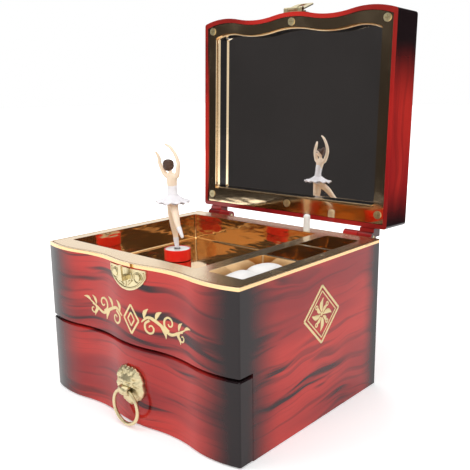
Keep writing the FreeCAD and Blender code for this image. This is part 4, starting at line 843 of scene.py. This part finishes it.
class JEWELBOX_OT_cushion(bpy.types.Operator):
    """Makes the ring cushion: a front lip and two crowned rolls"""
    bl_idname = "jewelbox.cushion"
    bl_label = "Ring cushion"

    def execute(self, context):
        sizes = settings().sizes
        low, high = corners_of("ring_cushion")
        crown = high.z - low.z
        lip_sag = 0.8 * MM
        rolls_y = low.y + sizes.lip_thickness
        roll_width = (high.y - rolls_y) / 2

        def height(x, y):
            """Height of the cloth above the tray's floor."""
            end = abs(2 * (x - low.x) / (high.x - low.x) - 1)
            start, width, sag = low.y, sizes.lip_thickness, lip_sag
            if y >= rolls_y:
                roll = min(int((y - rolls_y) / roll_width), 1)
                start, width, sag = rolls_y + roll * roll_width, roll_width, sizes.roll_sag
            across = min(abs(2 * (y - start) / width - 1), 1.0)
            arch = (1 - across ** 3.2) ** 0.5
            dimple = 0.25 * MM * sin(310 * x + 190 * y)
            top = crown - sag * end ** 2.6 - dimple
            return sizes.pad_height + (top - sizes.pad_height) * arch * (1 - 0.5 * end ** 14)

        columns, rows = 44, 110
        inset, foot = 0.35 * MM, low.z + 0.1 * MM
        wide, deep = high.x - low.x - 2 * inset, high.y - low.y - 2 * inset
        xs = [low.x + inset + wide * i / columns for i in range(columns + 1)]
        rings = []
        for j in range(rows + 1):
            y = low.y + inset + deep * j / rows
            rings.append([(x, y, low.z + height(x, y)) for x in xs] + [(x, y, foot) for x in reversed(xs)])
        shapes = Shapes()
        shapes.add(*skinned(rings))
        cloth = cloth_material("Napped white cloth", "cushion", 1700.0, 0.5, Sheen_Weight=0.35)
        blank = shapes.object("cushion_blank", cloth)
        cushion = melted(blank, "ring_cushion_cloth", voxel=0.45 * MM, rounds=4)
        cushion.data.shade_smooth()
        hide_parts("ring_cushion")
        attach(cushion, "root")
        return {"FINISHED"}


# Figure, in hundredths of its height

# A limb's rows hold x to the right seen from behind, y away, z up and radius
STANDING_LEG = [(-0.4, 0, 0.4, 1.8), (-0.9, 0, 5.5, 2.3), (-1.5, 0.2, 12.0, 2.6), (-2.2, 0, 19.0, 3.6),
                (-3.0, 0.4, 26.0, 4.1), (-3.5, 0, 34.0, 4.9), (-3.4, 0, 42.7, 5.2)]
FREE_LEG = [(-2.8, -0.8, 42.7, 4.3), (0, -11.4, 35.1, 3.6), (2.2, -18.6, 26.5, 2.8), (4.6, -23.2, 21.4, 2.1),
            (7.2, -27.2, 15.8, 1.3)]
LEFT_ARM = [(-3.3, -2.3, 69.0, 2.1), (-8.2, 0.8, 69.0, 2.4), (-12.2, 2.0, 75.0, 2.2), (-14.4, 2.2, 80.8, 1.9),
            (-15.2, 1.0, 87.0, 1.7), (-17.4, -0.4, 91.2, 1.2)]
RIGHT_ARM = [(-3.3, -2.3, 69.0, 2.1), (1.6, -5.4, 69.0, 2.4), (3.2, -7.6, 75.6, 2.2), (3.8, -8.4, 82.4, 1.9),
             (1.0, -7.2, 90.0, 1.7), (-3.4, -5.2, 96.2, 1.4), (-8.0, -3.6, 99.0, 1.0)]
NECK = [(-3.5, -2.4, 69.0, 2.1), (-4.2, -2.3, 72.5, 1.9), (-5.4, -2.0, 76.0, 1.9)]
# The trunk's rows hold a place, two radii and a turn in degrees
TRUNK = [(-3.2, 0, 41.3, 5.4, 4.2, 0), (-3.1, 0.2, 46.8, 5.4, 4.2, 0), (-3.2, -0.1, 55.1, 4.5, 3.3, -10),
         (-3.3, -1.3, 63.0, 5.2, 3.5, -24), (-3.3, -2.3, 69.6, 5.8, 3.1, -33),
         (-3.7, -2.4, 72.4, 2.2, 2.0, -33)]
HEAD = (-6.0, -1.9, 78.5)
BUN = (-6.3, -6.4, 80.5)
HAIR_ROLL = [(-9.6, -4.4, 81.2, 1.7), (-8.0, -5.6, 82.6, 2.3), (-5.6, -6.2, 83.0, 2.5),
             (-3.2, -5.0, 82.4, 2.2), (-2.2, -3.6, 80.6, 1.7)]
SKIRT_MIDDLE = -2.9
WAIST = (5.3, 4.1)
BODICE_FOOT, BODICE_TOP = 41.0, 60.5
TRUNK_SIDES = 28
POLE = 0.03
# Bumps of the face in shares of the head's radius: nose, hollows of the eyes, lips and chin
FACE = ((0.10, 0, 0.10, -0.06, 0.16), (-0.05, 0.36, 0.16, 0.10, 0.12), (0.05, 0, 0.20, -0.46, 0.10),
        (0.05, 0, 0.22, -0.78, 0.14))


def figure_frame():
    """Places a point of the figure, in metres above its spring, in the box."""
    spring = Vector(JOINTS["figure_tilt"]["pos_m"])
    return Matrix.Translation(spring) @ Matrix.Rotation(settings().sizes.figure_turn, 4, "Z")


def in_metres(rows):
    unit = settings().sizes.figure_height / 100
    return [tuple(value * unit for value in row) for row in rows]


def trunk_ring(level, grow=0.0):
    """The trunk's oval at a level, in hundredths of the figure's height."""
    x, y, z, rx, ry, turn = min(flowing(TRUNK, 8), key=lambda row: abs(row[2] - level))
    c, s = cos(radians(turn)), sin(radians(turn))
    oval = [((rx + grow) * right, (ry + grow) * away) for right, away in circle(TRUNK_SIDES)]
    return [(x + right * c - away * s, y + right * s + away * c, level) for right, away in oval]


def dome(centre, axis, radius, from_angle, to_angle, rings, sides):
    """Rings about an axis, from near its pole; radius takes the angle from the pole and the turn."""
    axis = Vector(axis).normalized()
    across = axis.orthogonal().normalized()
    over = axis.cross(across)
    made = []
    for k in range(rings):
        polar = from_angle + (to_angle - from_angle) * k / (rings - 1)
        ring = []
        for i in range(sides):
            turn = tau * i / sides
            out = across * cos(turn) + over * sin(turn)
            ring.append(Vector(centre) + (axis * cos(polar) + out * sin(polar)) * radius(polar, turn))
        made.append(ring)
    return made


class JEWELBOX_OT_ballerina(bpy.types.Operator):
    """Makes the dancing figure with its bodice, hair, shoes and painted face"""
    bl_idname = "jewelbox.ballerina"
    bl_label = "Ballerina"

    def execute(self, context):
        unit = settings().sizes.figure_height / 100
        head = Vector(HEAD) * unit
        where = figure_frame()
        skin, dressing = self.body(head), self.dressing(head, unit)
        for piece in (skin, dressing):
            piece.data.transform(where)
            piece.data.shade_smooth()
            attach(piece, "figure")
        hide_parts("ballerina")
        return {"FINISHED"}

    @staticmethod
    def body(head):
        """Limbs, trunk and head, melted into one skin."""
        radius = settings().sizes.head_radius
        shapes = Shapes()
        for limb in (STANDING_LEG, FREE_LEG, LEFT_ARM, RIGHT_ARM, NECK):
            shapes.add(*tube(in_metres(limb)))
        low, high = TRUNK[0][2], TRUNK[-1][2]
        steps = 24
        trunk = [trunk_ring(low + (high - low) * k / steps) for k in range(steps + 1)]
        shapes.add(*skinned([in_metres(ring) for ring in trunk]))

        def head_radius(polar, turn):
            """Skull narrowed to a chin, with the bumps of a face on one side."""
            up = cos(polar)
            side = sin(polar) * cos(turn)
            face = max(sin(polar) * sin(turn), 0)
            size = 0.93 + 0.07 * up - 0.10 * max(-up, 0) * side * side
            return radius * (size + swell(side, up, FACE) * face)

        skull = dome(head, (0, 0, 1), head_radius, POLE, pi - POLE, rings=40, sides=64)
        shapes.add(*skinned(skull[::-1]))
        paint = moulded_material("Painted skin", "skin", 0.45, 0.04, Subsurface_Weight=0.06,
                                 Subsurface_Scale=0.001)
        return melted(shapes.object("figure_blank", paint), "figure_skin", voxel=0.28 * MM, rounds=3)

    def dressing(self, head, unit):
        """Bodice, shoes, hair and the painted face, in three paints."""
        satin, brown, red = range(3)
        sizes = settings().sizes
        radius = sizes.head_radius
        shapes = Shapes()
        shapes.add(*skinned(self.bodice(0.16 * MM / unit)), satin)
        for shoe in (flowing(STANDING_LEG, 4)[:7], flowing(FREE_LEG, 4)[11:]):
            shapes.add(*tube(in_metres(shoe), steps=2, grow=0.13 * MM), satin)

        def combed(polar, turn):
            return radius * (1.05 + 0.022 * sin(22 * turn + 3 * polar))

        def coiled(polar, turn):
            return sizes.bun_radius * (0.97 + 0.07 * sin(5 * turn + 7 * polar))

        crown = dome(head, (0, -0.72, 0.62), combed, POLE, 1.72, rings=22, sides=66)
        crown.append([head + (p - head) * 0.86 for p in crown[-1]])
        shapes.add(*skinned(crown[::-1]), brown)
        bun = dome(Vector(BUN) * unit, (0.1, -0.8, 0.6), coiled, POLE, pi - POLE, rings=22, sides=40)
        shapes.add(*skinned(bun[::-1]), brown)
        shapes.add(*tube(in_metres(HAIR_ROLL)), brown)
        for side in (-0.37, 0.37):
            shapes.add(*self.painted_spot(head, radius, (side, 0.90, 0.10), 0.52, 0.34), brown)
            shapes.add(*self.painted_spot(head, radius, (side, 0.88, 0.30), 0.66, 0.14), brown)
        shapes.add(*self.painted_spot(head, radius * 1.045, (0, 0.90, -0.45), 0.60, 0.22), red)
        return shapes.object("figure_dressing",
                             moulded_material("White satin paint", "bodice", 0.4, 0.06, Sheen_Weight=0.2),
                             moulded_material("Brown hair paint", "hair", 0.42, 0.20),
                             moulded_material("Red lip paint", "lips", 0.3, 0.02))

    @staticmethod
    def bodice(lift):
        """Rings of the bodice, which stands a lift off the trunk and rises towards the front."""
        last = 14
        rings = []
        for k in range(last + 1):
            grow = lift if k < last else 0.2 * lift
            row = []
            for i, (c, s) in enumerate(circle(TRUNK_SIDES)):
                top = BODICE_TOP + 4.0 * max(s, 0) - 1.0 * max(-s, 0)
                row.append(trunk_ring(BODICE_FOOT + (top - BODICE_FOOT) * k / last, grow)[i])
            rings.append(in_metres(row))
        return rings

    @staticmethod
    def painted_spot(head, radius, direction, wide, tall):
        """A flat painted oval on the face, in millimetres."""
        out = Vector(direction).normalized()
        across = Vector((0, 0, 1)).cross(out).normalized()
        up = out.cross(across)
        rings = []
        for depth, size in ((-0.25, 1.0), (0.02, 1.0), (0.10, 0.7), (0.13, 0.2)):
            middle = head + out * (radius * 0.97 + depth * MM)
            rings.append([middle + (across * c * wide + up * s * tall) * size * MM for c, s in circle(16)])
        return skinned(rings)


class JEWELBOX_OT_skirt(bpy.types.Operator):
    """Makes the stiff net skirt of two waved layers"""
    bl_idname = "jewelbox.skirt"
    bl_label = "Skirt"

    def execute(self, context):
        sides, steps = 176, 25
        half_thick = 0.11 * MM
        shapes = Shapes()
        for reach, drop, phase in ((1.0, 0.0, 0.0), (0.93, 0.75 * MM, 0.9)):
            rows = [[self.spot(k / steps, tau * i / sides, reach, drop, phase) for i in range(sides)]
                    for k in range(steps + 1)]
            over = [[(x, y, z + half_thick) for x, y, z in row] for row in rows]
            under = [[(x, y, z - half_thick) for x, y, z in row] for row in rows]
            shapes.add(*skinned(over + under[::-1] + over[:1], closed=False))
        net = cloth_material("Stiff white net", "net", 2600.0, 0.35, Sheen_Weight=0.25)
        skirt = shapes.object("skirt_net", net)
        skirt.data.transform(figure_frame())
        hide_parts("tutu")
        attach(skirt, "figure")
        return {"FINISHED"}

    @staticmethod
    def spot(t, turn, reach, drop, phase):
        """A place on a layer of net, t of the way from the waist to the edge."""
        sizes = settings().sizes
        unit = sizes.figure_height / 100
        wave = sin(sizes.skirt_waves * turn + phase) + 0.4 * sin(5 * turn + 2 * phase + 1)
        pleat = 0.10 * MM * sin(88 * turn) * t
        rim = sizes.skirt_radius * reach * (1 + 0.012 * sin(3 * turn + phase))
        out, away = (size * unit + (rim - size * unit) * t for size in WAIST)
        fall = sizes.skirt_rise * (1 - t) ** 1.7
        z = sizes.skirt_height + fall - drop * t + wave * 0.5 * MM * t ** 2 + pleat
        return SKIRT_MIDDLE * unit + cos(turn) * out, sin(turn) * away, z


# Lion

# Bumps in millimetres: the brows, then the hollows of the eyes, the eyeballs and the ears
LION_BROW = ((0.9, 2.9, 1.9, 4.6, 0.9),)
LION_FACE = ((-1.2, 3.0, 1.1, 2.6, 0.75), (0.8, 3.0, 0.6, 2.6, 0.45), (1.5, 6.4, 1.4, 7.2, 1.4))
# Nose and cheeks, whose place up is a bearing in degrees round the ring's wire
LION_MUZZLE = ((0.9, 0, 1.9, 38, 22), (0.35, 2.0, 1.1, 2, 26))


class JEWELBOX_OT_lion(bpy.types.Operator):
    """Makes the lion mask that holds the ring pull"""
    bl_idname = "jewelbox.lion"
    bl_label = "Lion mask"

    def execute(self, context):
        low, high = corners_of("lion_plate")
        ring = Vector(JOINTS["ring_swing"]["pos_m"])
        drawer = surface_of("drawer_front")
        middle = Vector(((low.x + high.x) / 2, 0, (low.z + high.z) / 2))
        reach = (high.x - low.x) / 2
        face_y = laid(drawer, (0, -OUTSIDE, middle.z), (0, 1, 0))[0].y - 1.0 * MM
        mouth = (ring.z - middle.z) / MM

        def edge(turn):
            """Outline of the mane: two lobes above, a cheek on each side and a beard, with small locks."""
            dip = 0.09 * lobe(turn, 90, 13) + 0.06 * (lobe(turn, 6, 13) + lobe(turn, 174, 13))
            dip += 0.09 * (lobe(turn, 306, 11) + lobe(turn, 234, 11))
            return reach * (0.95 - dip + 0.05 * lobe(turn, 270, 16) + 0.014 * sin(24 * turn))

        def relief(u, v, turn, t):
            """Height in millimetres of the mask at u across and v up."""
            locks = 0.32 * sin(12 * turn + 7 * t) + 0.22 * sin(24 * turn - 9 * t) * sin(8 * t)
            mane = 1.7 + 1.4 * sin(pi * min(t * 1.05, 1.0)) + locks * min(t * 2.2, 1.0) * (1.2 - t * 0.6)
            face = 4.6 * exp(-((u / 7.2) ** 4) - ((v - 1.4) / 7.0) ** 4)
            bridge = 1.2 * exp(-((u / 1.3) ** 2) - ((v - 1.4) / 3.4) ** 4)
            forms = swell(u, v + 0.25 * abs(u), LION_BROW) + swell(u, v, LION_FACE)
            height = max(mane, face) + bridge + forms
            ceiling = 2.5 + 4.2 / (1 + exp(-(v - mouth - 3.1) / 0.45))
            return min(height, ceiling)

        sides, steps = 208, 44
        rings = []
        for k in range(steps):
            t = max(k / (steps - 1), 0.004)
            row = []
            for i in range(sides):
                turn = tau * i / sides
                u = cos(turn) * edge(turn) * t
                v = sin(turn) * edge(turn) * t
                fall = 1 - max(t - 0.9, 0) * 6
                row.append((middle.x + u, face_y - relief(u / MM, v / MM, turn, t) * MM * fall, middle.z + v))
            rings.append(row)
        rim = [(x, laid(drawer, (x, -OUTSIDE, z), (0, 1, 0))[0].y - 0.02 * MM, z) for x, y, z in rings[-1]]
        rings.append(rim)
        shapes = Shapes()
        shapes.add(*skinned(rings[::-1]))
        self.add_muzzle(shapes, ring)
        mask = shapes.object("lion_mask", brass_material("Cast brass", 0.5))
        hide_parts("lion_plate")
        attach(mask, "drawer")
        return {"FINISHED"}

    @staticmethod
    def add_muzzle(shapes, ring):
        """The snout and chin, which arch over the ring's wire and leave it room to swing."""
        columns, turns = 26, 26
        half, bore = 4.1 * MM, 1.45 * MM
        chin, sweep = -128, 250
        bearings = [radians(chin + sweep * k / turns) for k in range(turns + 1)]
        rings = []
        for i in range(columns + 1):
            x = half * (2 * i / columns - 1)
            flank = sqrt(max(1 - (x / (half * 1.08)) ** 2, 0.0))
            outer = []
            for a in bearings:
                forms = swell(x / MM, degrees(a), LION_MUZZLE) - 0.45 * lobe(a, -22, 9)
                outer.append((a, bore + (0.35 + 1.55 * flank + forms) * MM))
            inner = [(a, bore) for a in reversed(bearings)]
            rings.append([(ring.x + x, ring.y - r * cos(a), ring.z + r * sin(a)) for a, r in outer + inner])
        shapes.add(*skinned(rings))


class JEWELBOX_OT_front_scroll(bpy.types.Operator):
    """Makes the gold scroll band on the front of the case"""
    bl_idname = "jewelbox.front_scroll"
    bl_label = "Front scroll"

    def execute(self, context):
        middle, level = 2.0, 68.0
        strokes = lozenge(middle, level, 6.4, 9.0, 1.3) + lozenge(middle, level, 2.8, 4.2, 1.0)
        half = [
            [(8.6, 0.0, 0.8), (14, 3.6, 1.9), (22, 0.8, 2.2), (30, -3.4, 1.9), (37, -0.8, 1.5),
             (43, 2.4, 0.8)],
            curl(15.0, -2.8, 4.8, 1, 95, 420, 1.6), curl(29.6, 3.0, 5.0, -1, 95, 420, 1.6),
            curl(40.2, -3.0, 3.6, 1, 80, 400, 1.3),
            leaf(10.6, 2.6, 62, 7.0, 2.5), leaf(19.0, 2.8, 50, 7.4, 2.6), leaf(22.8, -0.6, -58, 7.4, 2.6),
            leaf(35.0, -2.0, -52, 6.4, 2.2), leaf(37.4, 0.6, 58, 6.2, 2.1), leaf(42.4, 2.0, 20, 6.2, 1.9)]
        for stroke in half:
            for side in (1, -1):
                strokes.append([(middle + side * u, level + v, width) for u, v, width in stroke])
        gold = moulded_material("Ornament gold", "ornament", 0.38, 0.12, Metallic=0.3)
        ornament("front_scroll", strokes, front_of("case_shell"), settings().sizes.inlay_height, gold)
        return {"FINISHED"}


def ornament(name, strokes, place, height, material):
    """A raised ornament on the case."""
    shapes = Shapes()
    for stroke in strokes:
        inlay(shapes, stroke, place, height)
    piece = shapes.object(name, material)
    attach(piece, "root")


class JEWELBOX_OT_side_rosette(bpy.types.Operator):
    """Makes the gold rosette in a lozenge on each side of the case"""
    bl_idname = "jewelbox.side_rosette"
    bl_label = "Side rosettes"

    def execute(self, context):
        surface = surface_of("case_shell")
        middle, level = 4.0, 68.0
        strokes = lozenge(middle, level, 18.0, 18.0, 1.5) + lozenge(middle, level, 14.6, 14.6, 0.8)
        for k, (c, s) in enumerate(circle(8)):
            long, wide = (5.8, 2.4) if k % 2 else (8.6, 3.2)
            strokes.append(leaf(middle + 1.7 * c, level + 1.7 * s, 45 * k - 9, long, wide))
        strokes.append(curl(middle, level, 1.1, 1, 0, 360, 1.4))
        reach = 7.68 * sqrt(0.5)
        for u, v in ((reach, reach), (-reach, reach), (-reach, -reach), (reach, -reach)):
            dot = [(middle + u + 1.1 * c, level + v + 1.1 * s) for c, s in circle(6)]
            strokes.append(outline(dot, 0.9))
        for side, name in ((1, "right_rosette"), (-1, "left_rosette")):
            def place(u, v, side=side):
                return laid(surface, (side * OUTSIDE, u * MM, v * MM), (-side, 0, 0))
            ornament(name, strokes, place, settings().sizes.inlay_height, bpy.data.materials["Ornament gold"])
        return {"FINISHED"}


class JEWELBOX_OT_catch_relief(bpy.types.Operator):
    """Makes the pressed border, rings and scrolls of the catch plate"""
    bl_idname = "jewelbox.catch_relief"
    bl_label = "Catch relief"

    def execute(self, context):
        low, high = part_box("catch_plate")
        half = high[0] / MM - 1.5
        top, bottom = high[2] / MM - 3.2, low[2] / MM + 1.5
        sag = top - 3.4 - bottom
        bow = (half * half + sag * sag) / (2 * sag)
        border = [(half, top)]
        for k in range(-6, 7):
            u = -half * k / 6
            border.append((u, bottom + bow - sqrt(bow * bow - u * u)))
        border.append((-half, top))
        strokes = [[(u, v, 1.0) for u, v in border], leaf(0, bottom + 1.0, 90, 4.4, 2.4)]
        for turn in (1, -1):
            ring = [(turn * 10 + 3.1 * c, top - 3.7 + 3.1 * s) for c, s in circle(8)]
            strokes += [outline(ring, 0.9), leaf(turn * 1.6, bottom + 1.6, 90 - turn * 52, 5.4, 1.8)]
            drop = ((4.4, 0.8, 1.0), (5.0, 3.6, 1.6), (4.2, 6.6, 0.9))
            strokes.append([(turn * u, top - v, width) for u, v, width in drop])
        brass = bpy.data.materials["Pressed brass"]
        ornament("catch_relief", strokes, front_of("catch_plate"), settings().sizes.emboss_height, brass)
        return {"FINISHED"}


# Stage

# Name, place, height of the target, share of the lamp level, and whether reflections see it
LAMPS = (("lamp_top", (0.05, -0.15, 1.45), 0.05, 1.0, True),
         ("lamp_left", (-1.0, -1.15, 0.95), 0.1, 1.1, True),
         ("lamp_right", (1.15, -0.75, 0.85), 0.1, 1.9, False),
         ("lamp_behind", (-1.25, 1.05, 0.75), 0.12, 1.2, False))
# Watts that a lamp one metre away needs for a level of one on white
LAMP_WATTS = 9.9
# Middle of the foot, direction away from the box, half width and height
CARDS = (((-0.30, -0.27, 0.06), (-0.647, -0.742, 0), 0.7, 0.75),
         ((0.43, 0.42, 0.0), (0.69, 0.72, 0), 0.8, 0.75),
         ((0.94, -0.75, 0.18), (0.67, -0.74, 0), 0.13, 0.5))
CARD_LEAN = 0.06
FLOOR_REACH = 6


class JEWELBOX_OT_stage(bpy.types.Operator):
    """Makes the floor, the dark cards, the lamps, the white surround and the camera"""
    bl_idname = "jewelbox.stage"
    bl_label = "Stage"

    def execute(self, context):
        studio = settings().studio
        context.scene.view_settings.view_transform = "Standard"
        self.surround(context.scene, studio)
        self.floor(studio)
        self.dark_cards(studio)
        for lamp in LAMPS:
            self.lamp(studio, *lamp)
        self.camera(context.scene, studio)
        return {"FINISHED"}

    def floor(self, studio):
        """A pale floor that brightens away from the box."""
        shapes = Shapes()
        corners = ((-1, -1), (1, -1), (1, 1), (-1, 1))
        shapes.add([(x * FLOOR_REACH, y * FLOOR_REACH, 0) for x, y in corners], [(0, 1, 2, 3)])
        paper, g, shader = new_material("Pale floor", Roughness=0.9)
        place = g.place()
        tone = g.ease(g.noise(place, 3.0), 0.3, 0.7, 0.985, 1.0)
        g.feed(g.mix(tone, BLACK, rgba("floor")), shader["Base Color"])
        x, y, z = g.split(place)
        away = g.math("SQRT", g.plus(g.times(x, x), g.times(y, y)))
        fill = g.ease(away, 0.12, 1.1, studio.near_fill, studio.far_fill)
        g.feed(rgba("floor"), shader["Emission Color"])
        g.feed(g.times(fill, self.seen(g)), shader["Emission Strength"])
        shapes.object("floor", paper)

    @staticmethod
    def camera(scene, studio):
        """The camera, turned, tilted and rolled where it stands."""
        lens = bpy.data.cameras.new("camera")
        lens.lens = studio.lens
        camera = linked("camera", lens)
        turn = Euler((pi / 2 + studio.pitch, 0, studio.yaw)).to_matrix().to_4x4()
        roll = Matrix.Rotation(studio.roll, 4, "Z")
        camera.matrix_world = Matrix.Translation(studio.camera_place) @ turn @ roll
        scene.camera = camera

    @staticmethod
    def seen(g):
        """One for rays from the camera, a reflection or a clear piece; nothing for rays that carry light."""
        rays = g.add("LightPath").outputs
        return g.most(g.most(rays["Is Camera Ray"], rays["Is Glossy Ray"]), rays["Is Transmission Ray"])

    def surround(self, scene, studio):
        """A white surround, dimmer for rays that have been reflected three times, as in the tray."""
        world = bpy.data.worlds.new("white surround")
        world.use_nodes = True
        scene.world = world
        g = Graph(world.node_tree)
        again = g.math("GREATER_THAN", g.add("LightPath").outputs["Glossy Depth"], 2.5)
        bright = g.minus(1.0, g.times(again, 1 - studio.deep_look))
        level = g.plus(studio.ambient, g.times(self.seen(g), 1 - studio.ambient))
        level = g.times(level, bright)
        background = world.node_tree.nodes["Background"].inputs
        background["Color"].default_value = (1, 1, 1, 1)
        g.feed(level, background["Strength"])

    @staticmethod
    def dark_cards(studio):
        """Cards that only reflections see, so that the mirror and the lid's side read dark."""
        cards = Shapes()
        for middle, out, half, high in CARDS:
            side = Vector((out[1], -out[0], 0)).normalized()
            rise = Vector((0, 0, 1)) + Vector(out) * CARD_LEAN
            corners = ((-half, 0), (half, 0), (half, high), (-half, high))
            cards.add([Vector(middle) + side * s + rise * z for s, z in corners], [(0, 1, 2, 3)])
        cloth, g, shader = new_material("Dark card", Roughness=1.0, Specular_IOR_Level=0.0)
        tone = g.ease(g.noise(g.place(), 6.0), 0.3, 0.7, 0.8, 1.0)
        shade = tuple(studio.flag) + (1.0,)
        g.feed(g.mix(tone, BLACK, shade), shader["Base Color"])
        g.feed(shade, shader["Emission Color"])
        shader["Emission Strength"].default_value = 0.5
        piece = cards.object("dark_cards", cloth)
        for rays in ("camera", "diffuse", "shadow", "transmission"):
            setattr(piece, "visible_" + rays, False)

    @staticmethod
    def lamp(studio, name, place, target, share_of, glossy):
        """A square softbox that faces a height above the floor's middle."""
        light = bpy.data.lights.new(name, "AREA")
        light.shape = "SQUARE"
        light.size = studio.lamp_size
        away = Vector((0, 0, target)) - Vector(place)
        light.energy = studio.lamp_level * share_of * LAMP_WATTS * away.length_squared
        piece = linked(name, light)
        piece.location = place
        piece.rotation_euler = away.to_track_quat("-Z", "Y").to_euler()
        piece.visible_glossy = glossy


STEPS = (JEWELBOX_OT_stage, JEWELBOX_OT_grain, JEWELBOX_OT_plating, JEWELBOX_OT_frame_bead,
         JEWELBOX_OT_hardware, JEWELBOX_OT_pedestal, JEWELBOX_OT_works, JEWELBOX_OT_springs,
         JEWELBOX_OT_cushion, JEWELBOX_OT_ballerina, JEWELBOX_OT_skirt, JEWELBOX_OT_lion,
         JEWELBOX_OT_front_scroll, JEWELBOX_OT_side_rosette, JEWELBOX_OT_catch_relief)


class JEWELBOX_PT_panel(bpy.types.Panel):
    """Lists the steps that dress the box, with its settings"""
    bl_label = "Jewellery box"
    bl_idname = "JEWELBOX_PT_panel"
    bl_space_type = "VIEW_3D"
    bl_region_type = "UI"
    bl_category = "Jewellery box"

    def draw(self, context):
        for step in STEPS:
            self.layout.operator(step.bl_idname)
        box = context.scene.jewellery_box
        for group in (box.colours, box.sizes, box.studio):
            column = self.layout.box().column()
            for name in group.__annotations__:
                column.prop(group, name)


CLASSES = (BoxColours, BoxSizes, StudioSettings, JewelleryBox, *STEPS, JEWELBOX_PT_panel)


def register():
    for cls in CLASSES:
        bpy.utils.register_class(cls)
    bpy.types.Scene.jewellery_box = PointerProperty(type=JewelleryBox)


def unregister():
    del bpy.types.Scene.jewellery_box
    for cls in reversed(CLASSES):
        bpy.utils.unregister_class(cls)


def main():
    register()
    bpy.ops.jewelbox.stage()
    bpy.ops.jewelbox.grain()
    bpy.ops.jewelbox.plating()
    bpy.ops.jewelbox.frame_bead()
    bpy.ops.jewelbox.hardware()
    bpy.ops.jewelbox.pedestal()
    bpy.ops.jewelbox.works()
    bpy.ops.jewelbox.springs()
    bpy.ops.jewelbox.cushion()
    bpy.ops.jewelbox.ballerina()
    bpy.ops.jewelbox.skirt()
    bpy.ops.jewelbox.lion()
    bpy.ops.jewelbox.front_scroll()
    bpy.ops.jewelbox.side_rosette()
    bpy.ops.jewelbox.catch_relief()


if __name__ == "__main__":
    main()
